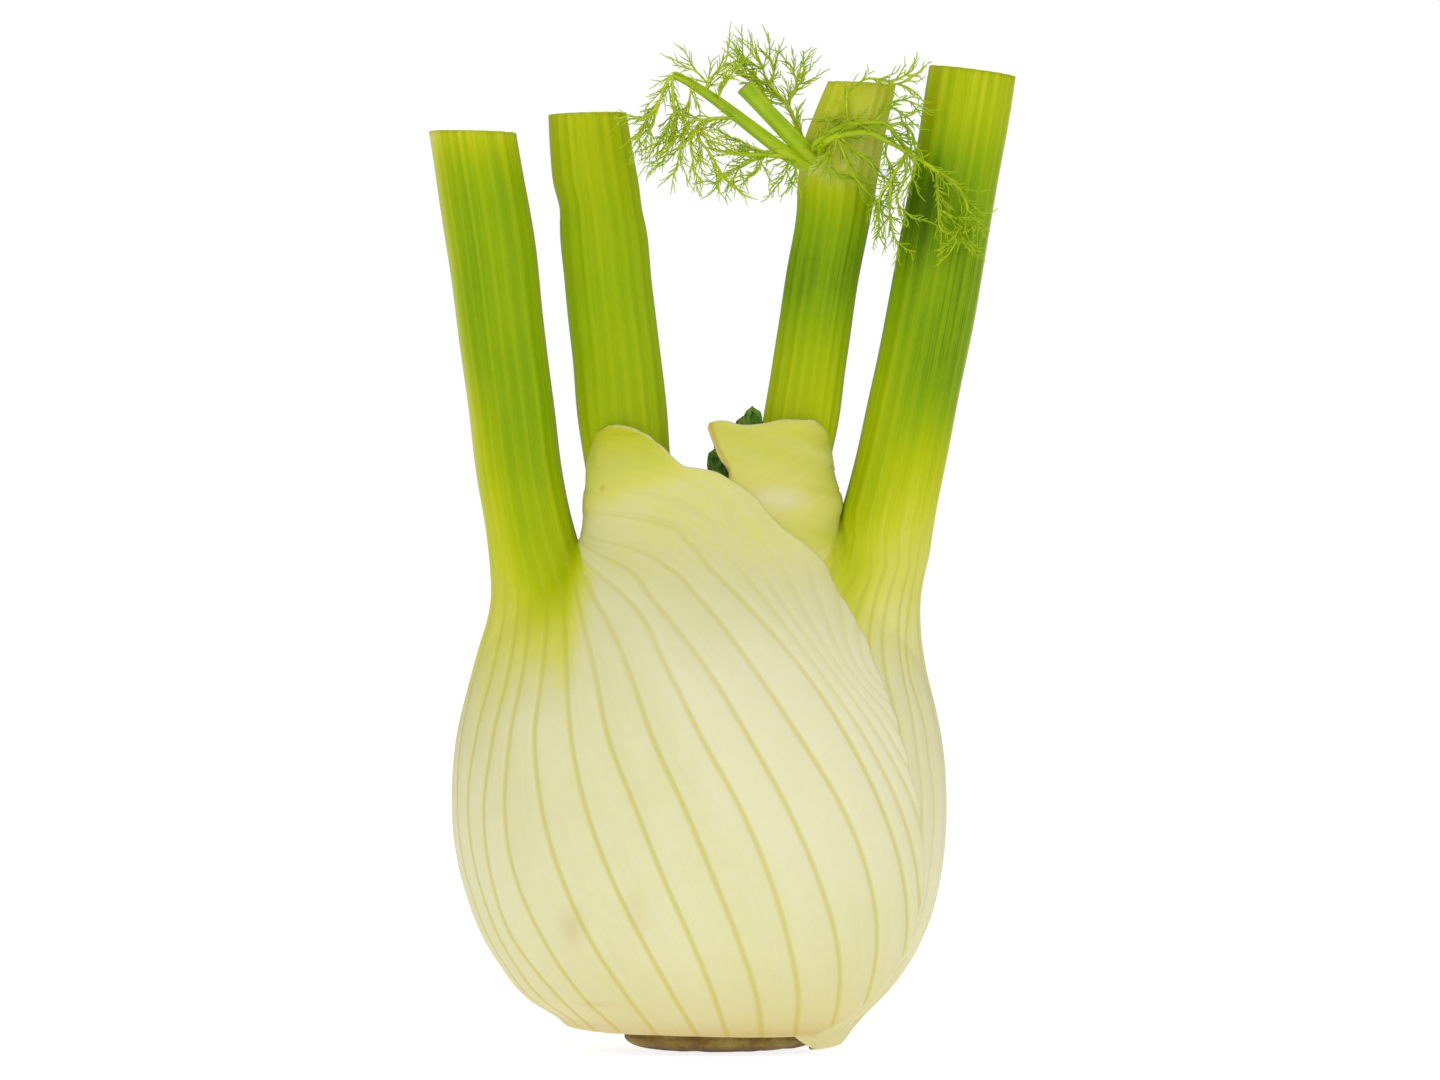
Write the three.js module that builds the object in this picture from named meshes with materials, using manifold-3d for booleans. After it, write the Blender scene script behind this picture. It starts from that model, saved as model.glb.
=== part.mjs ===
// Fennel bulb with four cut stalks, standing on its trimmed root plate.
// Millimetres, +Z up. The broad front face looks along -Y and the leaves spread along X.
// The origin is the middle of the flat underside of the root plate.
import * as THREE from 'three';
import { mergeVertices } from 'three/addons/utils/BufferGeometryUtils.js';
import Module from 'manifold-3d';

const wasm = await Module();
wasm.setup();

// Driving dimensions
const bulbWidth = 100; // outside, at the widest
const bulbDepth = 72; // front to back, at the widest
const widestHeight = 52; // where the bulb is widest
const neckHeight = 103; // where the left stalk leaves the bulb
const lobeTop = 127; // highest edge of the sheaths
const sheathFoot = 3.2; // lowest edge of the left sheath
const rightFoot = 2.4; // how much lower the right sheath reaches
const plateHalfWidth = 20;
const plateHalfDepth = 15;
const plateOffset = -1; // the root plate sits a little to the left
const plateHeight = 9;
const gap = 0.3; // clearance between neighbouring pieces
const edgeStep = 1; // how far the left sheath stands proud of the right one
const lobeThickness = 1.5; // the thin upper edge of a sheath
const wallThickness = 5.5; // the fleshy lower part of a sheath
const reach = 80; // how far a cutting solid goes past what it cuts

const bodySides = 44;
const stalkSides = 20;
const twigSides = 5;

// A smooth curve through [height, value] pairs
function profile(pairs) {
  const heights = pairs.map(([height]) => height);
  const values = pairs.map(([, value]) => value);
  const spline = new THREE.CubicInterpolant(heights, values, 1);
  return (height) => spline.evaluate(height)[0];
}

// Left and right edges of the sheath body, and its half depth and squareness
const halfDepth = bulbDepth / 2;
const bodyLeft = profile([
  [sheathFoot, -24], [5, -30], [10, -37.5], [18, -45.4], [34, -52.8], [widestHeight, 45.4 - bulbWidth],
  [67, -53], [83, -47.6], [91, -41], [neckHeight, -29.2], [119, -27.6], [lobeTop, -26],
]);
const bodyRight = profile([
  [sheathFoot, 22], [10, 31], [18, 38.3], [34, 44.4], [widestHeight, 45.4], [67, 43.6],
  [83, 37], [91, 29], [100, 20.6], [111, 24.3], [120, 22.6], [lobeTop, 21.4],
]);
const bodyDepth = profile([
  [sheathFoot, 16], [10, 25], [18, 30], [34, halfDepth - 1], [widestHeight, halfDepth], [67, 34],
  [83, 28], [91, 23.6], [neckHeight, 16.8], [112, 13], [120, 11.5], [lobeTop, 11],
]);
const bodySquareness = profile([[0, 2], [75, 2.05], [neckHeight, 2.4], [lobeTop, 2.6]]);
const bodyLevels = [
  sheathFoot, 5, 7.5, 10, 14, 18, 25, 34, 43, widestHeight, 60, 67, 75, 83, 88, 93, 98, neckHeight,
  108, 114, 120, lobeTop,
];

// How far the inner side of each outer sheath lies in from the body's surface
const leftWall = profile([
  [0, wallThickness], [70, wallThickness], [100, 2.6], [116, lobeThickness], [lobeTop, lobeThickness],
]);
const rightWall = (height) => 2 * leftWall(height) + gap;

// Stalks: [height, left edge, right edge, half depth] from the base up,
// and the slope of the cut across the top
const leftOuterStalk = {
  sections: [
    [72, -49, -17, 20], [82, -47.5, -19.5, 17], [90, -46.4, -23.5, 13], [97, -46.8, -27.8, 10],
    [neckHeight, -47.6, -29.5, 8.6], [117, -49.3, -32.3, 7.6],
    [148, -53.1, -36.3, 7.4], [186, -59.4, -41.8, 7.4],
  ],
  topSlope: -0.02,
};
const rightOuterStalk = {
  sections: [
    [72, 10, 41, 15], [82, 12, 39.8, 14.5], [90, 15.5, 39.6, 13.5],
    [96, 18.6, 40.4, 10.8], [102, 21.6, 41.8, 9.2],
    [118, 26.5, 45.2, 7.8], [135, 30.2, 48.7, 7.6], [167, 36.4, 54.4, 7.6], [198.5, 42.2, 59.6, 7.4],
  ],
  topSlope: -0.128,
};
const leftInnerStalk = {
  sections: [
    [80, -24, -4, 10], [100, -25.5, -8, 8.5], [120, -28.3, -10.5, 7.4], [139, -30, -12.6, 7.2],
    [155, -31.6, -14.6, 7.2], [176, -34.3, -16.8, 7.2], [190, -35.3, -19.3, 7],
  ],
  topSlope: 0.03,
};
const rightInnerStalk = {
  sections: [
    [80, 3, 21, 9], [100, 4.5, 20, 7.4], [127, 8.7, 23.5, 6.4],
    [139, 9.7, 25.1, 6.4], [157, 12.4, 27.8, 6.4],
    [170, 15, 30.4, 6.4], [178, 15.4, 31.6, 7], [185, 16.8, 32.8, 7],
    [190, 18.9, 33.8, 6.4], [196, 21.5, 35.1, 6],
  ],
  topSlope: -0.045,
};
const heartLeaf = {
  sections: [
    [84, -1.5, 5, 2.4], [96, -2.6, 6, 3.2], [108, -2.8, 7, 3.4], [116, -2.6, 7.6, 3.4], [121, -0.6, 8.2, 3],
    [126, 2.6, 8.4, 2.4], [129, 4.6, 7.6, 1.4], [130, 5.6, 7, 0.6],
  ],
  topSlope: 0,
};

// Edges are [x, height] points from the top down.
// The upper edge of the left sheath across the front, over the second stalk and down to the right,
// and across the back
const frontRim = [
  [-29, 119], [-26.8, 122.7], [-22.5, 126], [-15.8, 124.3], [-9.9, 118.9], [-2.2, 116.2], [6.9, 110.1],
  [12.2, 104.3], [19.1, 100.2], [25, 90], [29.8, 80.7], [37, 59], [40, 40.6], [39, 24.3], [34, 12], [20, 3],
];
const backRim = [
  [-29, 118], [-24, 120.5], [-16, 119], [-6, 112], [3, 100], [9, 84], [12, 62], [10, 36], [6, 14], [3, 3],
];
// Edges of the right sheath where it goes in under the left one,
// and the top of its lobe before the third stalk
const frontTuck = [
  [-1.4, 125.6], [-0.6, 122], [1.6, 119], [1, 115], [3, 106], [8, 92], [16, 76], [24, 52], [25, 30], [18, 3],
];
const backTuck = [[16, 121], [8, 119], [-4, 108], [-8, 92], [-8, 62], [-9, 36], [-8, 14], [-7, 3]];
const frontLobeTop = [[reach, 110], [24, 122], [20, 126.4], [0.8, 126.8]];
// Tops of the inner leaves' bases, which meet in the middle
const innerSplit = 1.5;
const leftInnerTop = [[-reach, 118], [-28, 118], [-12, 112], [-4, 103], [innerSplit, 99]];
const rightInnerTop = [[innerSplit + gap, 99], [6, 103], [12, 112], [28, 116], [reach, 116]];

// Root plate: [height, share of its full width and depth]
const plateLevels = [[0, 0.88], [1, 0.98], [3, 1], [5.5, 0.94], [7.5, 0.78], [plateHeight, 0.5]];

// Side stems and feathery leaflets at the joint: points [x, y, z] along each branch, from where it grows
const sideStems = {
  side_stem_long: {
    path: [[14.2, -4.4, 181.2], [7.3, -6.5, 185], [-3.2, -10, 193.5], [-9.6, -12, 197]],
    radii: [1.4, 0.8],
  },
  side_stem_short: { path: [[17.8, -7, 181.6], [12, -8.2, 187.6], [4.4, -8.6, 195]], radii: [1.8, 1.75] },
};
const fronds = {
  frond_crown: [
    [[16.2, -1, 186.6], [13.4, 0, 191.5], [9.3, 1, 194.5], [4.7, 1, 199.6], [2.6, 0, 205]],
    [[13.4, 0, 191.5], [12.4, 2, 195.5], [16.8, 3, 199.6]],
    [[9.3, 1, 194.5], [8, -3, 198], [8.6, -4, 201.6]],
  ],
  frond_left: [
    [[-10.3, -12.4, 196.6], [-13.2, -13, 190], [-12.4, -13, 183], [-10.8, -12, 177]],
    [[-13.2, -13, 190], [-16.6, -14, 186], [-17.6, -14, 183]],
    [[-12.4, -13, 183], [-7.6, -14, 180], [-4.4, -14, 177]],
    [[-13.2, -13, 190], [-8.3, -15, 188], [-2, -16, 189]],
  ],
  frond_lower: [
    [[13.2, -5, 179.6], [8, -7, 180.6], [0.6, -8, 181.6]],
    [[8, -7, 180.6], [4.4, -8, 177], [-1.2, -8, 175.4]],
    [[8, -7, 180.6], [7, -8, 176.6]],
  ],
  frond_right: [
    [[20, -8.2, 184.2], [25.4, -9.4, 187.4], [33.7, -9, 186.6], [38, -8, 188], [38.6, -7, 195.5]],
    [[25.4, -9.4, 187.4], [27.4, -9.8, 192.4], [32, -9, 194.6]],
    [[33.7, -9, 186.6], [33.6, -9.6, 180], [35.5, -9.4, 172]],
  ],
  frond_drape: [
    [[21.6, -8.2, 180.4], [30, -10.4, 183.4], [38.3, -10.6, 180.6], [46.5, -10.6, 175], [49.1, -10.2, 170],
      [49.8, -9.8, 162]],
    [[38.3, -10.6, 180.6], [43.8, -10.8, 172], [44.2, -10.2, 165]],
    [[30, -10.4, 183.4], [31.5, -11, 176], [30.6, -10.6, 168]],
    [[46.5, -10.6, 175], [52, -9.6, 170.6]],
  ],
  frond_tip: [
    [[31.6, -7, 187.8], [32.6, -8.4, 190.4], [34.6, -8.2, 194.4], [39.6, -7.6, 199.2]],
    [[34.6, -8.2, 194.4], [30.4, -7.6, 197.8], [27.2, -6.6, 198.8]],
    [[34.6, -8.2, 194.4], [38.2, -9, 193.4]],
  ],
};
const twigRadius = 0.5;
const twigTipRadius = 0.32;
const twigStep = 2.2; // length of one straight stretch of a twig

// A closed solid through rings of points, each ring counter-clockwise seen from its far end
function loft(rings) {
  const sides = rings[0].length;
  const centre = (ring) => ring.reduce((sum, p) => sum.add(p), new THREE.Vector3()).divideScalar(sides);
  const points = [...rings.flat(), centre(rings[0]), centre(rings.at(-1))];
  const bottom = points.length - 2;
  const top = points.length - 1;
  const lastRing = (rings.length - 1) * sides;
  const index = [];
  for (let side = 0; side < sides; side += 1) {
    const next = (side + 1) % sides;
    for (let start = 0; start < lastRing; start += sides) {
      const above = start + sides;
      index.push(start + side, start + next, above + next);
      index.push(start + side, above + next, above + side);
    }
    index.push(bottom, next, side);
    index.push(top, lastRing + side, lastRing + next);
  }
  const geometry = new THREE.BufferGeometry().setFromPoints(points);
  geometry.setIndex(index);
  return geometry;
}

// One superellipse between a left and a right edge, level or sloping along X
function sectionRing({ left, right, depth, squareness, height, slope = 0, sides }) {
  const middle = (left + right) / 2;
  const halfWidth = (right - left) / 2;
  const rounded = (value) => Math.sign(value) * Math.abs(value) ** (2 / squareness);
  return Array.from({ length: sides }, (_, side) => {
    const turn = (2 * Math.PI * side) / sides;
    const offset = halfWidth * rounded(Math.cos(turn));
    return new THREE.Vector3(middle + offset, depth * rounded(Math.sin(turn)), height + slope * offset);
  });
}

// Rings whose first one is moved down and whose last one is moved up
function stretched(rings, down, up) {
  rings[0].forEach((point) => { point.z -= down; });
  rings.at(-1).forEach((point) => { point.z += up; });
  return rings;
}

// A geometry as a solid that can be cut, with only its positions kept
function solid(geometry) {
  const bare = geometry.clone();
  bare.deleteAttribute('normal');
  bare.deleteAttribute('uv');
  const merged = mergeVertices(bare, 1e-5);
  return new wasm.Manifold(new wasm.Mesh({
    numProp: 3,
    vertProperties: new Float32Array(merged.attributes.position.array),
    triVerts: new Uint32Array(merged.index.array),
  }));
}

// The body that the sheaths follow, drawn in by one amount at its sides and another front and back
function bodySolid({ inset = () => 0, depthInset = inset, down = 0, up = 0 } = {}) {
  const rings = bodyLevels.map((height) => sectionRing({
    left: bodyLeft(height) + inset(height),
    right: bodyRight(height) - inset(height),
    depth: bodyDepth(height) - depthInset(height),
    squareness: bodySquareness(height),
    height,
    sides: bodySides,
  }));
  return solid(loft(stretched(rings, down, up)));
}

// The room inside a sheath whose wall has a given thickness, open at both ends
function hollowSolid(thickness) {
  return bodySolid({ inset: thickness, down: reach, up: reach });
}

function stalkSolid({ sections, topSlope }, grow = 0) {
  const rings = sections.map(([height, left, right, depth], step) => sectionRing({
    left: left - grow,
    right: right + grow,
    depth: depth + grow,
    squareness: 2.2,
    height,
    slope: step === sections.length - 1 ? topSlope : 0,
    sides: stalkSides,
  }));
  return solid(loft(rings));
}

function plateSolid(grow = 0) {
  const rings = plateLevels.map(([height, share]) => sectionRing({
    left: plateOffset - plateHalfWidth * share - grow,
    right: plateOffset + plateHalfWidth * share + grow,
    depth: plateHalfDepth * share + grow,
    squareness: 2,
    height,
    sides: bodySides,
  }));
  return solid(loft(stretched(rings, grow, grow)));
}

// A block from y = near to y = far. Its outline runs smoothly along an edge and is closed by corners.
function outlineBlock(edge, corners, near, far) {
  const curve = new THREE.SplineCurve(edge.map(([x, z]) => new THREE.Vector2(x, z)));
  const shape = new THREE.Shape([
    ...curve.getSpacedPoints(edge.length * 2),
    ...corners.map(([x, z]) => new THREE.Vector2(x, z)),
  ]);
  const block = new THREE.ExtrudeGeometry(shape, { depth: far - near, bevelEnabled: false });
  block.rotateX(Math.PI / 2); // the outline's second axis becomes height and the block runs towards -Y
  block.translate(0, far, 0);
  return solid(block);
}

// Everything to one side of an edge that runs down the front and of another that runs down the back
function besideEdges(side, front, back, frontTop = [[side * reach, front[0][1]]]) {
  const foot = (edge) => [[edge.at(-1)[0], -reach], [side * reach, -reach]];
  const frontBlock = outlineBlock(front, [...foot(front), ...frontTop], -reach, 0);
  const backBlock = outlineBlock(back, [...foot(back), [side * reach, back[0][1]]], 0, reach);
  return frontBlock.add(backBlock);
}

// Everything below an edge, front to back
function below(edge) {
  return outlineBlock(edge, [[edge.at(-1)[0], -reach], [edge[0][0], -reach]], -reach, reach);
}

// What the pieces inside an outer leaf stay clear of: its sheath, out past the surface, and its stalk
function leafCutter(region, thickness, stalk) {
  const outside = bodySolid({ inset: () => -wallThickness, down: sheathFoot, up: 1 });
  const hollow = hollowSolid((height) => thickness(height) + gap);
  return outside.intersect(region).add(stalkSolid(stalk, gap)).subtract(hollow);
}

// A tapering twig along a smooth path
function twig(path, startRadius, endRadius) {
  const curve = new THREE.CatmullRomCurve3(path.map((point) => new THREE.Vector3(...point)));
  const segments = Math.max(2, Math.round(curve.getLength() / twigStep));
  const frames = curve.computeFrenetFrames(segments, false);
  const rings = Array.from({ length: segments + 1 }, (_, step) => {
    const centre = curve.getPointAt(step / segments);
    const radius = THREE.MathUtils.lerp(startRadius, endRadius, step / segments);
    return Array.from({ length: twigSides }, (__, side) => {
      const turn = (2 * Math.PI * side) / twigSides;
      return centre.clone()
        .addScaledVector(frames.normals[step], radius * Math.cos(turn))
        .addScaledVector(frames.binormals[step], radius * Math.sin(turn));
    });
  });
  return solid(loft(rings));
}

const object = new THREE.Group();

function addMesh(name, body, look) {
  const { numProp, vertProperties, triVerts } = body.getMesh();
  const geometry = new THREE.BufferGeometry();
  geometry.setAttribute('position', new THREE.BufferAttribute(vertProperties, numProp));
  geometry.setIndex(new THREE.BufferAttribute(triVerts, 1));
  geometry.computeVertexNormals();
  const mesh = new THREE.Mesh(geometry, new THREE.MeshStandardMaterial({ metalness: 0, ...look }));
  mesh.name = name;
  object.add(mesh);
}

// Root plate: the trimmed stem, flat below and domed above
const plateCutter = plateSolid(gap);
addMesh('root_plate', plateSolid(), { color: 0x8a6a34, roughness: 0.9 });

// Outer leaf on the left: its sheath is the part of the body's shell to the left of its rims
const leftRegion = besideEdges(-1, frontRim, backRim);
const leftOuter = bodySolid().intersect(leftRegion)
  .add(stalkSolid(leftOuterStalk))
  .subtract(hollowSolid(leftWall))
  .subtract(plateCutter);
addMesh('outer_leaf_left', leftOuter, { color: 0xdcdca4, roughness: 0.45 });

// Outer leaf on the right: its sheath goes in under the left one and has a lobe in front of the third stalk
const rightRegion = besideEdges(1, frontTuck, backTuck, frontLobeTop);
const leftCutter = leafCutter(leftRegion, leftWall, leftOuterStalk);
const rightOuter = bodySolid({ inset: () => 0, depthInset: () => edgeStep, down: rightFoot })
  .intersect(rightRegion)
  .add(stalkSolid(rightOuterStalk))
  .subtract(hollowSolid(rightWall))
  .subtract(leftCutter)
  .subtract(plateCutter);
addMesh('outer_leaf_right', rightOuter, { color: 0xd2d890, roughness: 0.45 });

// Heart leaf, and the two inner leaves whose bases fill the inside around it
const rightCutter = leafCutter(rightRegion, rightWall, rightOuterStalk);
const innerCutter = leftCutter.add(rightCutter).add(plateCutter).add(stalkSolid(heartLeaf, gap));
const core = bodySolid({ inset: (height) => rightWall(height) + gap });
const innerLeaf = (top, stalk) => core.intersect(below(top)).add(stalkSolid(stalk)).subtract(innerCutter);
addMesh('inner_leaf_left', innerLeaf(leftInnerTop, leftInnerStalk), { color: 0x9cb41e, roughness: 0.45 });
addMesh('inner_leaf_right', innerLeaf(rightInnerTop, rightInnerStalk), { color: 0x8eaa1c, roughness: 0.45 });
addMesh('heart_leaf', stalkSolid(heartLeaf), { color: 0x3c6410, roughness: 0.7 });

// Side stems and feathery leaflets
Object.entries(sideStems).forEach(([name, { path, radii }]) => {
  addMesh(name, twig(path, ...radii), { color: 0x9dbb2a, roughness: 0.5 });
});
Object.entries(fronds).forEach(([name, paths]) => {
  const twigs = paths.map((path) => twig(path, twigRadius, twigTipRadius));
  addMesh(name, twigs.reduce((sum, next) => sum.add(next)), { color: 0x6da315, roughness: 0.6 });
});

export default object;
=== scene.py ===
# Fennel bulb with four cut stalks.
# Shapes are worked out in millimetres and turned to metres when a mesh is made.
import math
import random

import bpy
import numpy as np
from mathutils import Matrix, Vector


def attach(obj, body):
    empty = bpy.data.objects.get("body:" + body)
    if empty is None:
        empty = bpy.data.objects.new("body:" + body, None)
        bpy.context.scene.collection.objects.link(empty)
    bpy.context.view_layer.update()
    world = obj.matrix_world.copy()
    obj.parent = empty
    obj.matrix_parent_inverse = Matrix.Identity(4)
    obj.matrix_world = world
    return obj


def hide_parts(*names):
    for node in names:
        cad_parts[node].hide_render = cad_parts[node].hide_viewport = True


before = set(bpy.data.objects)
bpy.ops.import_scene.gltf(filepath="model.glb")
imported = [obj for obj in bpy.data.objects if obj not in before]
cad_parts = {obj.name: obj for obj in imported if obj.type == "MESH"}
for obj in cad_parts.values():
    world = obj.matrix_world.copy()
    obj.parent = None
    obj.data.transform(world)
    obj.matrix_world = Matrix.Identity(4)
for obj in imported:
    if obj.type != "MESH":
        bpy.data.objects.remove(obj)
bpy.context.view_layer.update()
print("frame loaded")


def smoothCurve(pairs):
    # a smooth line through [place, value] pairs, level past its ends
    places, values = np.array(pairs, float).T
    steps = np.diff(places)
    slopes = np.diff(values) / steps
    inner = (slopes[:-1] * steps[1:] + slopes[1:] * steps[:-1]) / (steps[1:] + steps[:-1])
    tangents = np.concatenate([slopes[:1], inner, slopes[-1:]])

    def at(where):
        where = np.clip(where, places[0], places[-1])
        k = np.clip(np.searchsorted(places, where, side="right") - 1, 0, len(steps) - 1)
        t = (where - places[k]) / steps[k]
        low = (1 + 2 * t) * (1 - t) ** 2 * values[k] + t * (1 - t) ** 2 * steps[k] * tangents[k]
        return low + t**2 * (3 - 2 * t) * values[k + 1] - t**2 * (1 - t) * steps[k] * tangents[k + 1]

    return at


def lengthAlong(points):
    # how far along a line each of its points lies
    return np.concatenate([[0], np.cumsum(np.linalg.norm(np.diff(points, axis=0), axis=1))])


def smoothPath(points, count):
    # evenly spaced points on a smooth line through given ones
    points = np.array(points, float)
    reach = lengthAlong(points)
    lines = [smoothCurve(np.stack([reach, column], 1)) for column in points.T]
    fine = np.stack([line(np.linspace(0, reach[-1], count * 8)) for line in lines], 1)
    along = lengthAlong(fine)
    wanted = np.linspace(0, along[-1], count)
    return np.stack([np.interp(wanted, along, column) for column in fine.T], 1)


def easeBetween(value, low, high):
    share = np.clip((value - low) / (high - low), 0, 1)
    return share * share * (3 - 2 * share)


def softMax(one, other, blend):
    # the larger of two values, rounded over where they are nearly equal
    blend = np.maximum(blend, 1e-6)
    near = np.maximum(blend - np.abs(one - other), 0) / blend
    return np.maximum(one, other) + near * near * blend / 4


def waves(seed, *places):
    # slow smooth unevenness in about -1 to 1, made of a few sine waves with a fixed seed
    pick = random.Random(seed)
    total = 0
    for octave in range(4):
        phase = pick.uniform(0, 2 * math.pi)
        for place in places:
            phase = phase + place * pick.uniform(0.6, 1.4) * 1.7**octave
        total = total + np.sin(phase) / 1.5**octave
    return total / 2.4


def patch(x, z, middleX, middleZ, halfX, halfZ):
    # 1 in the middle of a soft round patch, fading to 0 round it
    return np.exp(-(((x - middleX) / halfX) ** 2) - ((z - middleZ) / halfZ) ** 2)


def colour(hexValue):
    # an sRGB hex colour as the linear values that shaders read
    parts = [int(hexValue[k : k + 2], 16) / 255 for k in (1, 3, 5)]
    return [p / 12.92 if p <= 0.04045 else ((p + 0.055) / 1.055) ** 2.4 for p in parts] + [1.0]


def addNode(tree, kind, inputs=None, stops=(), **settings):
    # adds a node with its settings and ramp stops; an input takes a value, a socket or another node's result
    node = tree.nodes.new(kind)
    for name, value in settings.items():
        setattr(node, name, value)
    for name, value in (inputs or {}).items():
        if isinstance(value, bpy.types.Node):
            value = value.outputs[0]
        if isinstance(value, bpy.types.NodeSocket):
            tree.links.new(value, node.inputs[name])
        else:
            node.inputs[name].default_value = value
    for number, (place, value) in enumerate(stops):
        if number > 1:
            node.color_ramp.elements.new(1.0)
        node.color_ramp.elements[number].position = place
        node.color_ramp.elements[number].color = colour(value)
    return node


def newMaterial(name):
    material = bpy.data.materials.new(name)
    material.use_nodes = True
    material.node_tree.nodes.clear()
    return material, material.node_tree


def meshObject(name, points, faces, values=None, materials=()):
    # points are in millimetres, and values are one number for each point
    mesh = bpy.data.meshes.new(name)
    mesh.from_pydata((np.asarray(points) / 1000).tolist(), [], faces)
    for key, numbers in (values or {}).items():
        layer = mesh.attributes.new(key, "FLOAT", "POINT")
        layer.data.foreach_set("value", np.asarray(numbers, np.float32))
    for material in materials:
        mesh.materials.append(material)
    mesh.shade_smooth()
    mesh.update()
    piece = bpy.data.objects.new(name, mesh)
    bpy.context.collection.objects.link(piece)
    return piece


class Surface:
    # grids of points with their faces and per-point values, joined into one mesh
    def __init__(self):
        self.points, self.faces, self.values, self.count = [], [], {}, 0

    def addGrid(self, points, values, flip=False):
        rows, columns = points.shape[:2]
        index = self.count + np.arange(rows * columns).reshape(rows, columns)
        quads = np.stack([index[:-1, :-1], index[:-1, 1:], index[1:, 1:], index[1:, :-1]], -1).reshape(-1, 4)
        self.faces.append(quads[:, ::-1] if flip else quads)
        self.points.append(points.reshape(-1, 3))
        for key, numbers in values.items():
            self.values.setdefault(key, []).append(np.broadcast_to(numbers, (rows, columns)).reshape(-1))
        self.count += rows * columns

    def weld(self, distance=0.02):
        # joins points that lie together, and drops faces that this closes
        points = np.concatenate(self.points)
        keys = np.round(points / distance).astype(np.int64)
        _, first, back = np.unique(keys, axis=0, return_index=True, return_inverse=True)
        faces = back.reshape(-1)[np.concatenate(self.faces)]
        self.points, self.faces = points[first], []
        for quad in faces.tolist():
            corners = [corner for k, corner in enumerate(quad) if corner != quad[k - 1]]
            if len(set(corners)) >= 3 and len(set(corners)) == len(corners):
                self.faces.append(corners)
        self.values = {key: np.concatenate(parts)[first] for key, parts in self.values.items()}

    def normals(self):
        total = np.zeros_like(self.points)
        for size in (3, 4):
            group = np.array([face for face in self.faces if len(face) == size], int).reshape(-1, size)
            at = self.points[group]
            cross = np.cross(at[:, size - 2] - at[:, 0], at[:, size - 1] - at[:, size - 3])
            for k in range(size):
                np.add.at(total, group[:, k], cross)
        return total / np.maximum(np.linalg.norm(total, axis=1, keepdims=True), 1e-9)

    def push(self, amount):
        # moves every point out along its normal
        self.points = self.points + self.normals() * np.reshape(amount, (-1, 1))

    def openEdges(self):
        # directed edges that only one face uses
        edges = {(face[k - 1], corner): True for face in self.faces for k, corner in enumerate(face)}
        return [(a, b) for a, b in edges if (b, a) not in edges]

    def rollEdges(self, thickness, layers=4):
        # rolls every open edge round to the inner side, as a soft edge of the given thickness
        normals = self.normals()
        edges = self.openEdges()
        rim = sorted({corner for edge in edges for corner in edge})
        place = {corner: k for k, corner in enumerate(rim)}
        along = np.zeros((len(rim), 3))
        for a, b in edges:
            step = self.points[b] - self.points[a]
            along[place[a]] += step
            along[place[b]] += step
        along /= np.maximum(np.linalg.norm(along, axis=1, keepdims=True), 1e-9)
        out = np.cross(along, normals[rim])
        base = len(self.points)
        turns = [math.pi * layer / layers for layer in range(1, layers + 1)]
        out, down = out * thickness / 2, normals[rim] * thickness / 2
        rolled = [self.points[rim] + out * math.sin(turn) - down * (1 - math.cos(turn)) for turn in turns]
        self.points = np.concatenate([self.points, *rolled])
        for key in self.values:
            self.values[key] = np.concatenate([self.values[key]] + [self.values[key][rim]] * layers)
        self.values["lip"][base:] = 1

        def corner(k, layer):
            return k if layer == 0 else base + (layer - 1) * len(rim) + place[k]

        for layer in range(layers):
            for a, b in edges:
                near, far = (corner(b, layer), corner(a, layer)), (corner(a, layer + 1), corner(b, layer + 1))
                self.faces.append([*near, *far])

    def addInside(self, inner):
        # adds another surface, turned to face inwards
        base = len(self.points)
        self.points = np.concatenate([self.points, inner.points])
        self.faces += [[corner + base for corner in face[::-1]] for face in inner.faces]
        for key in self.values:
            self.values[key] = np.concatenate([self.values[key], inner.values[key]])


def finishPiece(name, node, surface, materials):
    # makes the mesh, gives the cut ends the second material, and stands for the CAD node
    piece = meshObject(name, surface.points, surface.faces, surface.values, materials)
    if len(materials) > 1:
        isCut = surface.values["stalk"] > 1.5
        for polygon in piece.data.polygons:
            polygon.material_index = int(all(isCut[corner] for corner in polygon.vertices))
    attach(piece, "root")
    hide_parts(node)
    print(name, len(surface.points), "points")


print("helpers ready")

# The bulb's own shape, which every leaf base follows: [height, value] pairs for its left and right edges,
# half its depth and how square its section is
bulb = {
    "left": [
        [3.7, -24.6], [4.1, -27.4], [4.7, -30.6], [5.4, -32], [6.4, -33], [10, -38.6], [18, -45.4],
        [34, -52.4], [52, -54.6], [67, -52.9], [74, -51], [79, -48.8], [83, -46.4], [88, -42.8],
        [93, -38.4], [98, -33.6], [103.4, -29.2], [111.6, -28.2], [119, -27.4], [127, -26],
    ],
    "right": [
        [0.3, 19.6], [0.5, 21.6], [0.9, 23.4], [1.8, 24.7], [3.2, 25.8], [6, 28], [10, 32.2], [18, 38.2],
        [26, 42], [34, 44.1], [52, 45.4], [67, 43.6], [71, 42.6], [75, 41.1], [79, 39.4], [83, 37.2],
        [88, 33.8], [93, 29.6], [97, 26.4], [100, 24.8], [104, 24.1], [107, 24.1], [110, 24.4], [112, 24.2],
        [115, 23.2], [119, 22.5], [127, 21.9],
    ],
    "depth": [
        [0.3, 15.8], [0.9, 16.9], [1.8, 17.3], [3.2, 17.8], [10, 25], [18, 30], [34, 35], [52, 36],
        [67, 34], [83, 28], [91, 23.6], [103, 16.8], [112, 13], [120, 11.5], [127, 11],
    ],
    "squareness": [[0, 2], [75, 2.05], [95, 2.3], [112, 2.9], [127, 3.2]],
}
bulbLeft, bulbRight = smoothCurve(bulb["left"]), smoothCurve(bulb["right"])
bulbDepth, bulbSquareness = smoothCurve(bulb["depth"]), smoothCurve(bulb["squareness"])
stalkSquareness = 2.2


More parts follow.
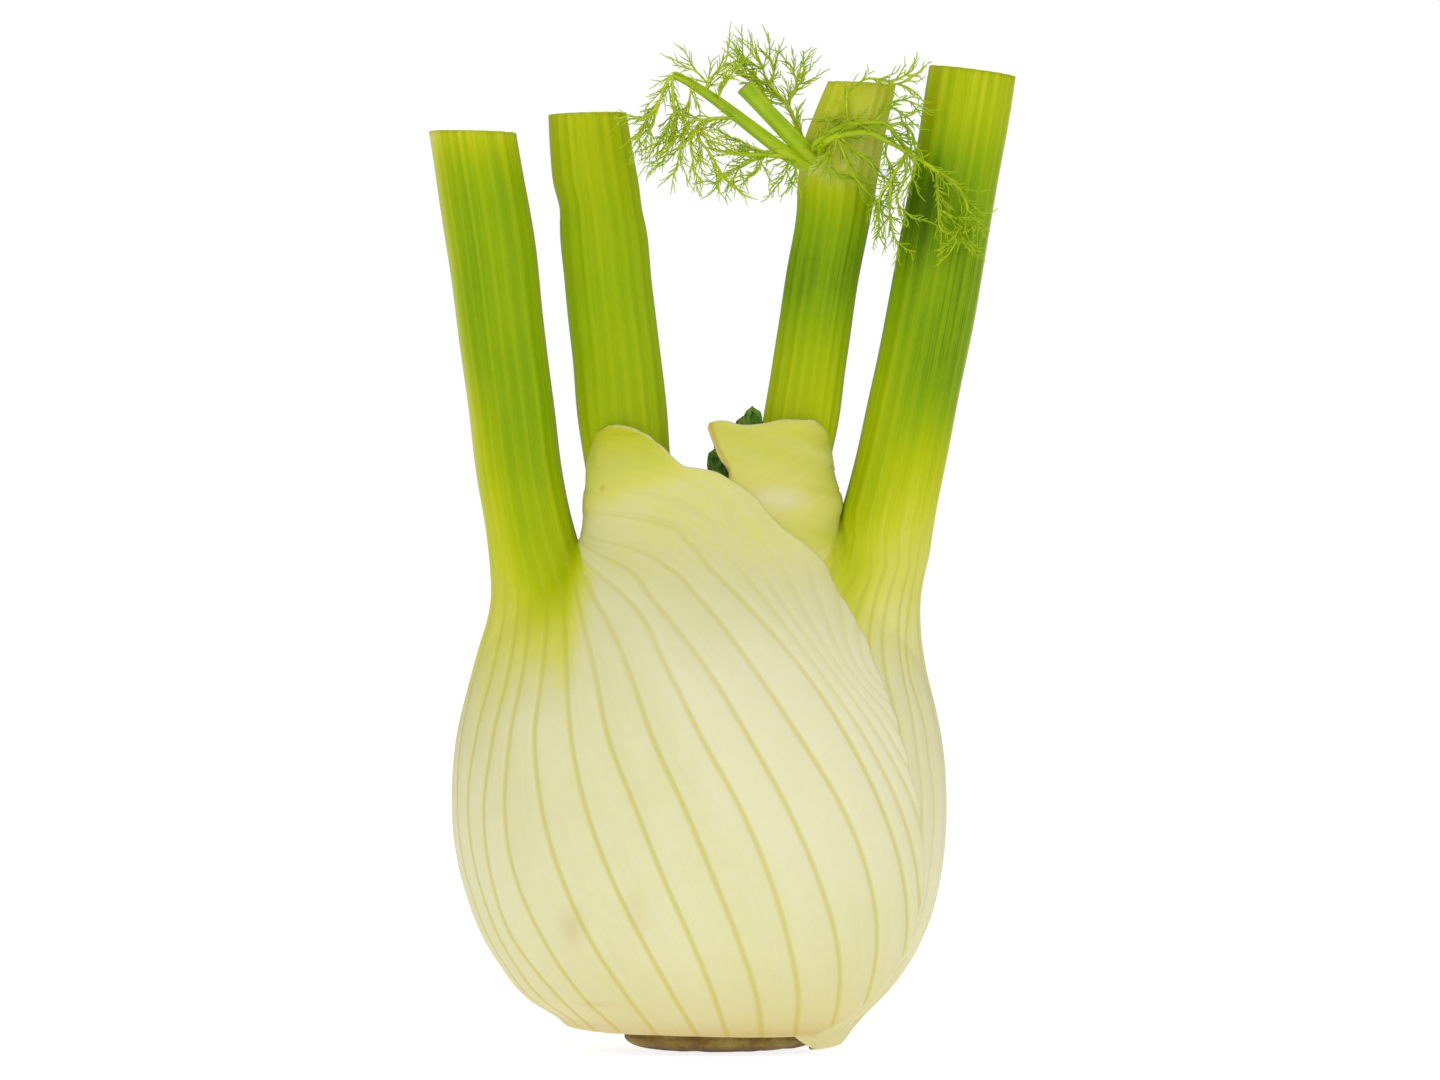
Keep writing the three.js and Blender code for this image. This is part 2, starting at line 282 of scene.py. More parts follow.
def ovalDepth(x, left, right, depth, squareness):
    share = np.clip(np.abs((x - (left + right) / 2) / ((right - left) / 2)), 0, 1)
    return depth * np.maximum(1 - share**squareness, 0) ** (1 / squareness)


def leafValues(rib, ribWidth, stalk=0.0, share=1.0):
    # rib: the rib that a point lies at. stalk: 0 on a sheath, 1 on a stalk, 2 on a cut end.
    # share: how far out on a cut end. lip: 1 on a rolled edge.
    return {"rib": rib, "ribWidth": ribWidth, "lip": 0.0, "stalk": stalk, "share": share}


def ribAround(turn, stalkRibs):
    # ribs round a stalk, from its inner edge (0 degrees) to its outer edge (180) and back
    marks, numbers = np.array(stalkRibs).T
    return np.interp(np.degrees(np.pi - np.abs(np.pi - turn)), marks, numbers)


def stalkRings(shape, z, columns):
    # rings round a stalk at heights z, each from its inner edge round the front; the top is cut at a slant
    stalk = np.array(shape["stalk"], float)
    left, right, depth = (smoothCurve(stalk[:, [0, column]])(z) for column in (1, 2, 3))
    turn = np.linspace(0, 2 * np.pi, columns + 1)[None]
    middle = (left + right) / 2
    x = middle - shape["side"] * (right - left) / 2 * np.cos(turn)
    y = np.where(turn <= np.pi, -1, 1) * ovalDepth(x, left, right, depth, stalkSquareness)
    slant = easeBetween(z, stalk[-1, 0] - shape["slantLength"], stalk[-1, 0]) * shape["topSlope"]
    points = np.stack(np.broadcast_arrays(x, y + smoothCurve(shape["lean"])(z), z + slant * (x - middle)), -1)
    return points, ribAround(turn, shape["stalkRibs"]) + 0 * z


def addCut(surface, ring, side):
    # the cut top of a stalk: rings that close on its middle, a little sunken
    sag = 0.5
    middle = ring[:-1].mean(0)
    share = np.concatenate([[1.0, 0.975, 0.94], np.linspace(0.86, 0, 9)])
    depth = np.concatenate([[0, -0.02, -0.12], -sag * (1 - share[3:] ** 2)])
    points = middle + (ring - middle)[None] * share[:, None, None]
    points[..., 2] += depth[:, None]
    surface.addGrid(points, leafValues(0.0, 5.0, 2.0, share[:, None]), side < 0)


class Leaf:
    # One outer leaf: a sheath that wraps the bulb, and the stalk that rises from it. Its side is -1 for
    # a stalk on the left and 1 on the right. The sheath is worked out with its stalk on the left, and
    # place() mirrors it.
    def __init__(self, shape, detail=1.0):
        self.shape, self.detail = shape, detail
        self.side, self.neck = shape["side"], shape["neck"]
        self.flip = flip = -self.side
        near, far = (bulbLeft, bulbRight) if self.side < 0 else (bulbRight, bulbLeft)
        self.left = lambda z: flip * near(z)
        self.right = lambda z: flip * far(z)
        stalk = np.array(shape["stalk"], float)
        ends = (1, 2) if self.side < 0 else (2, 1)
        self.stalkLeft, self.stalkRight = (smoothCurve(stalk[:, [0, end]] * [1, flip]) for end in ends)
        self.stalkDepth = smoothCurve(stalk[:, [0, 3]])
        self.stalkFoot, self.stalkTop = stalk[0, 0], stalk[-1, 0]
        self.lean, self.blend = smoothCurve(shape["lean"]), smoothCurve(shape["blend"])
        self.crease = self.mirrored(shape["crease"])
        self.ribs = [self.mirrored(rib) for rib in shape["ribs"]]

    def mirrored(self, line):
        return smoothCurve([[z, self.flip * x] for z, x in line])

    def sectionDepth(self, x, z):
        body = ovalDepth(x, self.left(z), self.right(z), bulbDepth(z), bulbSquareness(z))
        stalk = ovalDepth(x, self.stalkLeft(z), self.stalkRight(z), self.stalkDepth(z), stalkSquareness)
        stalk = np.where((z < self.stalkFoot) | (z > self.neck + 0.01), 0, stalk)
        return softMax(body, stalk, np.minimum(self.blend(z), np.minimum(body, stalk)))

    def ribCount(self, x, z):
        # which rib a point lies at: whole numbers on ribs, growing away from the stalk's outer edge
        lines = np.stack([np.broadcast_to(rib(z), np.shape(x)) for rib in self.ribs])
        apart = 0.05 * np.arange(len(lines)).reshape((-1,) + (1,) * np.ndim(x))
        lines = np.maximum.accumulate(lines + apart, axis=0)
        k = np.clip((lines <= x).sum(0) - 1, 0, len(self.ribs) - 2)
        low = np.take_along_axis(lines, k[None], 0)[0]
        high = np.take_along_axis(lines, k[None] + 1, 0)[0]
        return k + (x - low) / np.maximum(high - low, 0.4)

    def rows(self):
        # heights of the sheath's rows, evenly spaced along its outline
        z = np.linspace(self.shape["foot"], self.neck, 600)
        x = np.minimum(self.left(z), np.where(z > self.stalkFoot, self.stalkLeft(z), 99))
        run = lengthAlong(np.stack([x, z], 1))
        count = max(24, int(run[-1] / self.shape["rowStep"] * self.detail))
        return np.interp(np.linspace(0, run[-1], count), run, z)[:, None]

    def place(self, x, y, z):
        x, y, z = np.broadcast_arrays(x, y, z)
        return np.stack([self.flip * x, y + self.lean(z), z], -1)

    def columns(self):
        return int(self.shape["stalkColumns"] * self.detail) // 2 * 2

    def addSheath(self, surface):
        # first the part below the stalk, as one tube with the stalk's columns, then the sheath's two sides
        z = self.rows()
        turn = np.linspace(0, 2 * np.pi, self.columns() + 1)[None]
        left = np.where(z > self.stalkFoot, np.minimum(self.left(z), self.stalkLeft(z)), self.left(z))
        x = left + (self.crease(z) - left) * (1 + np.cos(turn)) / 2
        face = np.where(turn <= np.pi, -1, 1)
        y = face * self.sectionDepth(x, z)
        grow = easeBetween(z, self.neck - 14, self.neck)
        around = np.degrees(np.pi - np.abs(np.pi - turn))
        outer = easeBetween(around, 142, 157)
        edgeRib = np.interp(around, [140, 160, 180], [1.35, 0.1, -0.9])
        rib = (1 - outer) * self.ribCount(x, z) + outer * edgeRib
        rib = (1 - grow) * rib + grow * ribAround(turn, self.shape["stalkRibs"])
        self.addPatch(surface, self.place(x, y, z), rib, -1)
        self.addSide(surface, z, -1, self.shape["frontMargin"], self.shape["frontRim"])
        self.addSide(surface, z, 1, self.shape["backMargin"], self.shape["backRim"])

    def bodyTurn(self, x, z):
        middle, half = (self.left(z) + self.right(z)) / 2, (self.right(z) - self.left(z)) / 2
        return np.arccos(np.clip((x - middle) / half, -1, 1))

    def addTurned(self, surface, turn, z, face):
        middle, half = (self.left(z) + self.right(z)) / 2, (self.right(z) - self.left(z)) / 2
        x = middle + half * np.cos(turn)
        self.addPatch(surface, self.place(x, face * self.sectionDepth(x, z), z), self.ribCount(x, z), -face)

    def addSide(self, surface, z, face, margin, rim):
        # one side of the sheath, from the crease beside the stalk to the leaf's margin
        share = np.linspace(0, 1, int(self.shape["sideColumns"] * self.detail))[None]
        marginAt = self.mirrored(margin)
        start, end = self.bodyTurn(self.crease(z), z), self.bodyTurn(marginAt(z), z)
        self.addTurned(surface, start + (end - start) * share, z, face)
        # the collar above the neck, up to the rim
        edge = smoothPath([[self.flip * x, height] for x, height in rim], share.size)
        edge[-1] = [marginAt(self.neck), self.neck]
        rise = np.linspace(0, 1, int(self.shape["collarRows"] * self.detail))[:, None]
        top = self.bodyTurn(edge[:, 0], edge[:, 1])[None]
        height = self.neck + (edge[:, 1][None] - self.neck) * rise
        start, end = (self.bodyTurn(line(self.neck), self.neck) for line in (self.crease, marginAt))
        self.addTurned(surface, (start + (end - start) * share) * (1 - rise) + top * rise, height, face)

    def addStalk(self, surface):
        rows = int((self.stalkTop - self.neck) / self.shape["stalkStep"] * self.detail)
        z = np.linspace(self.neck, self.stalkTop, rows)[:, None]
        points, rib = stalkRings(self.shape, z, self.columns())
        self.addPatch(surface, points, rib, -1, 1.0)
        addCut(surface, points[-1], self.side)

    def addPatch(self, surface, points, rib, face, stalk=0.0):
        # how wide one rib's share is, in millimetres, from the surface's own measure
        across, up = np.gradient(points, axis=1), np.gradient(points, axis=0)
        ribAcross, ribUp = np.gradient(rib, axis=1), np.gradient(rib, axis=0)
        e, f, g = (across * across).sum(-1), (across * up).sum(-1), (up * up).sum(-1)
        steep = g * ribAcross**2 - 2 * f * ribAcross * ribUp + e * ribUp**2
        steep = steep / np.maximum(e * g - f * f, 1e-6)
        width = np.clip(1 / np.sqrt(np.maximum(steep, 1e-4)), 0.8, 14)
        surface.addGrid(points, leafValues(rib, width, stalk), (face > 0) == (self.side > 0))


# Heights and depths of an outer leaf's relief, in millimetres
relief = {"groove": 0.17, "grooveHalfWidth": 0.7, "crown": 0.028, "ridge": 0.12, "uneven": 0.22}


def reliefAt(leaf, surface):
    # sunken ribs on the sheath, fine ridges on the stalk, and a slight unevenness over all
    x, y, z = surface.points.T
    rib, width, stalk = surface.values["rib"], surface.values["ribWidth"], surface.values["stalk"]
    off = np.abs(rib - np.round(rib)) * width
    part = rib - np.floor(rib)
    sheath = 1 - easeBetween(z, leaf.shape["ribEnd"], leaf.shape["ribEnd"] + 18)
    groove = -relief["groove"] * np.exp(-((off / relief["grooveHalfWidth"]) ** 2)) * sheath
    crown = relief["crown"] * np.minimum(width, 12) * 4 * part * (1 - part) * sheath
    ridge = relief["ridge"] * np.cos(2 * np.pi * rib) * (1 - sheath)
    uneven = relief["uneven"] * waves(leaf.shape["seed"], x / 14, z / 17, y / 19)
    footFade = 0.2 + 0.8 * easeBetween(z, leaf.shape["foot"], leaf.shape["foot"] + 5)
    return np.where(stalk > 1.5, 0, (groove + crown + uneven) * footFade + ridge)


# Leaf flesh: moist, waxy and slightly see-through, so it has a soft sheen and light sinks in a little.
# It runs from cream (tone 0) to deep green (tone 1); sizes are in millimetres.
flesh = {
    "tones": [
        (0.0, "#E6E2BA"), (0.13, "#DCD8A2"), (0.26, "#D6D563"), (0.39, "#C6CC2A"),
        (0.52, "#B3BE04"), (0.7, "#9AB100"), (0.87, "#7DA000"), (1.0, "#4C6C04"),
    ],
    "ribTones": [
        (0.0, "#D6CF80"), (0.26, "#C4C250"), (0.4, "#BCC42C"), (0.52, "#BCC720"),
        (0.7, "#AFC01A"), (0.87, "#94B010"), (1.0, "#6F8E0C"),
    ],
    "toneRange": 0.87,
    # edge is a painted highlight for the rolled rims
    "pale": "#DADD92", "dry": "#B98A3C", "edge": "#E8E4B4",
    "ribLine": 1.02,  # from the middle of a sunken rib to where its colour ends, at most
    "ribLineShare": 0.25,  # the same as a share of the rib's width, where ribs are crowded
    "streaksPerRib": 2.6, "streakLength": 71.43, "streakDepth": 111.1,
    # size, and how much each one changes the tone
    "clouds": (41.67, 0.16), "mottle": (14.29, 0.1), "grain": (2.381, 0.07),
    "skinLines": 0.3, "skinGrain": 0.04, "ribCrease": 0.05,  # bump heights
    "roughness": (0.37, 0.57),
}


def fleshMaterial():
    material, tree = newMaterial("waxyLeafFlesh")
    names = ("rib", "ribWidth", "tone", "lip", "ribShow", "pallor", "streaky", "dry")
    given = {name: addNode(tree, "ShaderNodeAttribute", attribute_name=name).outputs["Fac"] for name in names}
    place = addNode(tree, "ShaderNodeTexCoord").outputs["Object"]
    split = addNode(tree, "ShaderNodeSeparateXYZ", {"Vector": place}).outputs
    # a line on each rib, from the distance to the nearest one in millimetres
    nearest = addNode(tree, "ShaderNodeMath", {0: given["rib"]}, operation="ROUND")
    away = addNode(tree, "ShaderNodeMath", {0: given["rib"], 1: nearest}, operation="SUBTRACT")
    away = addNode(tree, "ShaderNodeMath", {0: away}, operation="ABSOLUTE")
    away = addNode(tree, "ShaderNodeMath", {0: away, 1: given["ribWidth"]}, operation="MULTIPLY")
    crowded = {0: given["ribWidth"], 1: flesh["ribLineShare"]}
    reach = addNode(tree, "ShaderNodeMath", crowded, operation="MULTIPLY")
    reach = addNode(tree, "ShaderNodeMath", {0: reach, 1: flesh["ribLine"]}, operation="MINIMUM")
    fade = {"Value": away, "From Min": 0.0, "From Max": reach, "To Min": 1.0, "To Max": 0.0}
    line = addNode(tree, "ShaderNodeMapRange", fade, interpolation_type="SMOOTHERSTEP")
    drawn = addNode(tree, "ShaderNodeMath", {0: line, 1: given["ribShow"]}, operation="MULTIPLY")
    # long streaks that follow the ribs, narrow across and slow along, with finer ones over them
    across = {0: given["rib"], 1: flesh["streaksPerRib"]}
    along = {0: split["Z"], 1: 1000 / flesh["streakLength"]}
    through = {0: split["Y"], 1: 1000 / flesh["streakDepth"]}
    parts = [addNode(tree, "ShaderNodeMath", part, operation="MULTIPLY") for part in (across, along, through)]
    ways = addNode(tree, "ShaderNodeCombineXYZ", dict(zip("XYZ", parts)))
    fineWays = addNode(tree, "ShaderNodeVectorMath", {0: ways, 1: (5.0, 1.6, 1.0)}, operation="MULTIPLY")
    wide = {"Vector": ways, "Scale": 1.0, "Detail": 3.0, "Roughness": 0.65}
    wide = addNode(tree, "ShaderNodeTexNoise", wide)
    fine = {"Vector": fineWays, "Scale": 1.0, "Detail": 2.0, "Roughness": 0.5}
    fine = addNode(tree, "ShaderNodeTexNoise", fine)
    streak = addNode(tree, "ShaderNodeMath", {0: fine, 1: 0.7, 2: wide}, operation="MULTIPLY_ADD")
    streak = addNode(tree, "ShaderNodeMath", {0: streak, 1: 0.85}, operation="SUBTRACT")
    lean = {0: streak, 1: given["streaky"], 2: given["tone"]}
    lean = addNode(tree, "ShaderNodeMath", lean, operation="MULTIPLY_ADD")
    # clouds, mottles and grain change the tone round their own middle
    layers = {}
    details = (("clouds", 2.0, 0.5, 0.45), ("mottle", 3.0, 0.55, 0.5), ("grain", 2.0, 0.6, 0.5))
    for name, detail, rough, middle in details:
        size, amount = flesh[name]
        noise = {"Vector": place, "Scale": 1000 / size, "Detail": detail, "Roughness": rough}
        layers[name] = addNode(tree, "ShaderNodeTexNoise", noise)
        even = addNode(tree, "ShaderNodeMath", {0: layers[name], 1: middle}, operation="SUBTRACT")
        lean = addNode(tree, "ShaderNodeMath", {0: even, 1: amount, 2: lean}, operation="MULTIPLY_ADD")
    lean = addNode(tree, "ShaderNodeMath", {0: lean, 1: flesh["toneRange"]}, operation="MULTIPLY")
    ribLean = addNode(tree, "ShaderNodeMath", {0: given["tone"], 1: flesh["toneRange"]}, operation="MULTIPLY")
    shown = addNode(tree, "ShaderNodeValToRGB", {"Fac": lean}, stops=flesh["tones"])
    ribTone = addNode(tree, "ShaderNodeValToRGB", {"Fac": ribLean}, stops=flesh["ribTones"])
    # painted highlight: the rolled rims are mixed towards the light edge colour
    lip = addNode(tree, "ShaderNodeMath", {0: given["lip"], 1: 0.6}, operation="MULTIPLY")
    # pallor mixes in the pale colour: paler tissue on the joint, flap and lobe, and painted rim light along
    # the stalks' edges
    covers = (
        (drawn, ribTone), (given["pallor"], colour(flesh["pale"])),
        # dry mixes in dried brown; low on the bulb its mask also lays painted shade
        (lip, colour(flesh["edge"])), (given["dry"], colour(flesh["dry"])),
    )
    for share, cover in covers:
        shown = addNode(tree, "ShaderNodeMix", {0: share, 6: shown, 7: cover}, data_type="RGBA").outputs[2]
    # fine skin: lines along the leaf, a soft grain, and a crease at each rib
    lines = addNode(tree, "ShaderNodeMath", {0: fine, 1: given["streaky"]}, operation="MULTIPLY")
    lift = addNode(tree, "ShaderNodeMath", {0: lines, 1: flesh["skinLines"] / 1000}, operation="MULTIPLY")
    for layer, height in ((layers["grain"], flesh["skinGrain"]), (drawn, -flesh["ribCrease"])):
        raised = {0: layer, 1: height / 1000, 2: lift}
        lift = addNode(tree, "ShaderNodeMath", raised, operation="MULTIPLY_ADD")
    bump = addNode(tree, "ShaderNodeBump", {"Height": lift, "Distance": 1.0, "Strength": 0.8})
    low, high = flesh["roughness"]
    rough = addNode(tree, "ShaderNodeMapRange", {"Value": layers["mottle"], "To Min": low, "To Max": high})
    shader = addNode(tree, "ShaderNodeBsdfPrincipled", {
        "Base Color": shown, "Roughness": rough, "Normal": bump, "IOR": 1.4, "Specular IOR Level": 0.14,
        "Subsurface Weight": 0.2, "Subsurface Radius": (1.0, 0.85, 0.15), "Subsurface Scale": 0.002})
    addNode(tree, "ShaderNodeOutputMaterial", {"Surface": shader})
    return material


# Cut stalk: wet pale pith with a green skin and small darker fibre ends, a fibre step in millimetres apart
wetPith = {
    "name": "wetCutPith", "pith": "#E2E6B4", "flesh": "#D3DC90", "skin": "#A3B82C", "rim": "#8CA60A",
    "fibre": "#A9B95A", "fibreStep": 1.3, "grain": 0.6667,
}
# Dried stem: the same cut, brown and dull after it has lost its water
driedPith = {
    "name": "driedStemCut", "pith": "#D9BE8C", "flesh": "#CFAE7C", "skin": "#C29A66", "rim": "#B08A58",
    "fibre": "#A98450", "fibreStep": 1.3, "grain": 0.6667,
}


def cutMaterial(cut):
    material, tree = newMaterial(cut["name"])
    share = addNode(tree, "ShaderNodeAttribute", attribute_name="share").outputs["Fac"]
    place = addNode(tree, "ShaderNodeTexCoord").outputs["Object"]
    cells = addNode(tree, "ShaderNodeTexVoronoi", {"Vector": place, "Scale": 1000 / cut["fibreStep"]})
    fade = {"Value": cells, "From Min": 0.1, "From Max": 0.3, "To Min": 0.7, "To Max": 0.0}
    dots = addNode(tree, "ShaderNodeMapRange", fade)
    speckle = {"Vector": place, "Scale": 1000 / cut["grain"], "Detail": 2.0}
    grain = addNode(tree, "ShaderNodeTexNoise", speckle)
    outwards = addNode(tree, "ShaderNodeMath", {0: grain, 1: 0.1, 2: share}, operation="MULTIPLY_ADD")
    stops = [(0.3, cut["pith"]), (0.8, cut["flesh"]), (0.96, cut["skin"]), (1.0, cut["rim"])]
    base = addNode(tree, "ShaderNodeValToRGB", {"Fac": outwards}, stops=stops)
    mix = {0: dots, 6: base, 7: colour(cut["fibre"])}
    shown = addNode(tree, "ShaderNodeMix", mix, data_type="RGBA").outputs[2]
    bump = addNode(tree, "ShaderNodeBump", {"Height": grain, "Distance": 0.0002, "Strength": 0.6})
    finish = {"Base Color": shown, "Roughness": 0.4, "Normal": bump, "IOR": 1.36}
    shader = addNode(tree, "ShaderNodeBsdfPrincipled", finish)
    addNode(tree, "ShaderNodeOutputMaterial", {"Surface": shader})
    return material


leafFlesh = fleshMaterial()
cutPith, cutDried = cutMaterial(wetPith), cutMaterial(driedPith)
print("leaf materials ready")

# The left outer leaf. Stalk rows are [height, left, right, half depth]. Crease, margins and ribs are
# [height, x], and rims are [x, height]. stalkRibs are [degrees from the stalk's inner edge, rib].
outerLeft = {
    "side": -1, "seed": 3, "neck": 103.4, "foot": 4.1, "slantLength": 25, "topSlope": -0.02,
    "stalk": [
        [66, -53, -14, 12], [74, -51.3, -16, 13.5], [82, -49, -19, 14.2], [87, -47.5, -21.5, 13.8],
        [91.3, -46.8, -24, 12.4], [97, -46.9, -27, 10], [103.4, -47.6, -29.2, 8.6],
        [117, -49.8, -32.3, 7.8], [132, -51.7, -34.2, 7.6], [148, -53.8, -36.2, 7.5],
        [163, -55.9, -37.8, 7.5], [186, -59.4, -41.8, 7.4],
    ],
    "lean": [[90, 0], [140, -0.6], [186, -1.5]],
    "blend": [[72, 7], [88, 6], [95, 3], [100, 1.4], [103.4, 0.4]],
    "crease": [
        [3, 7.7], [12, 6.6], [24, 2.9], [36, -1.8], [50, -7.6], [64, -14], [78, -19.1], [86, -22.4],
        [93, -26.6], [97.4, -27.8], [103.4, -29.2],
    ],
    "frontMargin": [
        [4.1, 18.8], [6, 23], [12, 31.2], [18, 35.8], [24, 38.4], [40, 40.6], [58.8, 37.1], [75, 32],
        [80.7, 29.8], [86.4, 27.2], [90, 25], [95.3, 22], [99.3, 20], [102.4, 16.4], [103.4, 14.9],
    ],
    "backMargin": [[4.1, 12.4], [14, 11.6], [36, 11.6], [62, 12], [84, 9], [95, 5], [103.4, 0.5]],
    "frontRim": [
        [-27.6, 118.6], [-27.2, 121], [-26.6, 122.9], [-25.4, 124.6], [-22.5, 126], [-19.3, 125.7],
        [-15.8, 124.3], [-13, 122.3], [-10.2, 119.5], [-8.1, 117.8], [-5, 117.2], [-1.4, 116.6],
        [1.9, 114.8], [5.8, 112.2], [8.9, 108.6], [12.6, 105], [14.9, 103.4],
    ],
    "backRim": [
        [-27.6, 118.6], [-26, 120.4], [-22, 121.2], [-16, 119.4], [-9, 114.6], [-3.4, 108.6], [0.5, 103.4],
    ],
    "ribs": [
        [
            [3, -28], [12, -40.4], [24, -47.8], [36, -52.2], [50, -53.6], [64, -52], [78, -49.2],
            [88, -46.6], [98, -46.4],
        ],
        [
            [3, -26.5], [12, -37.6], [24, -45.8], [36, -50.1], [50, -51.5], [64, -49.4], [78, -46],
            [87, -44.2], [98, -43.6],
        ],
        [
            [3, -24], [12, -33.2], [24, -42.5], [36, -46.5], [50, -47.8], [64, -45.9], [78, -42.7],
            [87, -41.4], [98, -41.2],
        ],
        [
            [3, -19], [12, -28.1], [24, -36.2], [36, -41.5], [50, -43.6], [64, -42.5], [78, -39.9],
            [90, -38.9], [98, -38.8],
        ],
        [
            [4, -13.2], [12, -19], [24, -26.6], [36, -32], [50, -36.1], [64, -37.5], [78, -36], [87, -35.4],
            [98, -36.2],
        ],
        [
            [4, -5.1], [12, -9.6], [24, -16.1], [36, -22], [50, -27.2], [64, -30.2], [78, -31.3],
            [87, -31.8], [98, -33.4],
        ],
        [
            [4, 0.8], [12, -1.7], [24, -6.4], [36, -11.7], [50, -17.3], [64, -22.8], [78, -25.9],
            [87, -28.2], [98, -30.6],
        ],
        [
            [4, 7.6], [12, 6.6], [24, 2.9], [36, -1.8], [50, -7.6], [64, -14], [78, -19.1], [86, -22.6],
            [93, -26.6], [98, -28.4], [110, -34],
        ],
        [
            [4, 14.3], [12, 14.8], [24, 12.7], [36, 9.2], [50, 3.4], [64, -4.3], [78, -11.4], [92, -19.6],
            [96.6, -25.4], [100, -29.4], [110, -37],
        ],
        [
            [4, 21.5], [12, 23], [24, 22.3], [36, 18.7], [50, 12.7], [64, 5], [78, -3.6], [92, -14.7],
            [98, -19.9], [101, -26.4], [103, -30], [110, -37],
        ],
        [
            [4, 26], [12, 28.9], [24, 30.6], [36, 28.9], [50, 23.6], [64, 15.1], [78, 5.7], [92, -5.2],
            [98, -11.4], [102, -19.6], [103.4, -26], [106, -31],
        ],
        [
            [4, 31], [12, 34], [24, 36.7], [36, 35.7], [50, 31.4], [64, 24.6], [78, 15.4], [92, 2.9],
            [98, -3.1], [103, -7.3], [106.6, -13], [108, -20], [109, -29],
        ],
        [
            [4, 34], [24, 39], [36, 38.6], [50, 35], [64, 28], [78, 18.4], [92, 7.8], [98, 2.9],
            [103, -1.5], [109.3, -7.7], [112, -16], [113.4, -28],
        ],
        [
            [4, 36], [24, 41], [36, 41], [50, 38], [64, 30.8], [78, 21], [92, 10.6], [98, 6.7], [103, 3.2],
            [108, -0.8], [113.8, -6.3], [116.6, -14], [118.4, -26],
        ],
        [
            [4, 40], [24, 44], [36, 44], [50, 40.6], [60.6, 34.9], [68.4, 30.2], [75.9, 24.3], [92, 14.6],
            [98, 11.6], [103, 9], [110, 4], [117, -3], [122, -14], [125, -26],
        ],
    ],
    "stalkRibs": [
        [0, 7.8], [22, 7], [50, 6], [73, 5], [90, 4], [107, 3], [121, 2], [137, 1], [157, 0], [180, -0.8],
    ],
    "stalkColumns": 240, "sideColumns": 84, "collarRows": 44, "rowStep": 0.85, "stalkStep": 1.1,
    "rimThickness": 1.3, "wall": 2.6, "ribEnd": 90,
}

# How green a leaf is by its height: along a stalk's outer side, along its inner side, and over the sheath.
# Dry spots are their strength, x, height, half width and half height.
leftGreen = {
    "outer": [
        [46, 0.02], [56, 0.07], [66, 0.15], [76, 0.25], [83, 0.31], [89, 0.36], [97, 0.42], [107, 0.5],
        [113, 0.56], [119, 0.64], [130, 0.82], [148, 0.95], [164, 0.92], [180, 0.76], [186, 0.54],
    ],
    "inner": [
        [66, 0.08], [76, 0.2], [83, 0.32], [89, 0.46], [93, 0.57], [97, 0.67], [102, 0.73], [113, 0.8],
        [119, 0.86], [148, 0.9], [164, 0.9], [180, 0.76], [186, 0.54],
    ],
    "sheath": [
        [2, 0.13], [12, 0.11], [30, 0.05], [44, 0], [60, -0.04], [76, 0], [86, 0.06], [98, 0.16],
        [108, 0.21], [113, 0.22], [119, 0.28],
    ],
    "drySpots": [[0.22, -29.8, 26.4, 2.2, 3.4], [0.1, -17, 30, 2.5, 5], [0.25, -25, 10.6, 3.4, 0.35]],
}


def makeOuterLeaf(name, node, shape, toneAt, sinkAt=None):
    leaf, surface = Leaf(shape), Surface()
    leaf.addSheath(surface)
    leaf.addStalk(surface)
    surface.weld()
    if sinkAt:
        surface.push(-sinkAt(surface.points))
    surface.push(reliefAt(leaf, surface))
    surface.rollEdges(shape["rimThickness"])
    # the inner side, at a coarser spacing
    inner = Surface()
    Leaf(shape, 0.3).addSheath(inner)
    inner.weld()
    if sinkAt:
        inner.push(-sinkAt(inner.points))
    edge = sorted({corner for pair in inner.openEdges() for corner in pair})
    thick = np.full(len(inner.points), shape["wall"])
    thick[edge] = shape["rimThickness"]
    inner.push(-thick)
    surface.addInside(inner)
    surface.values["tone"] = toneAt(surface.points, surface.values)
    finishPiece(name, node, surface, [leafFlesh, cutPith])


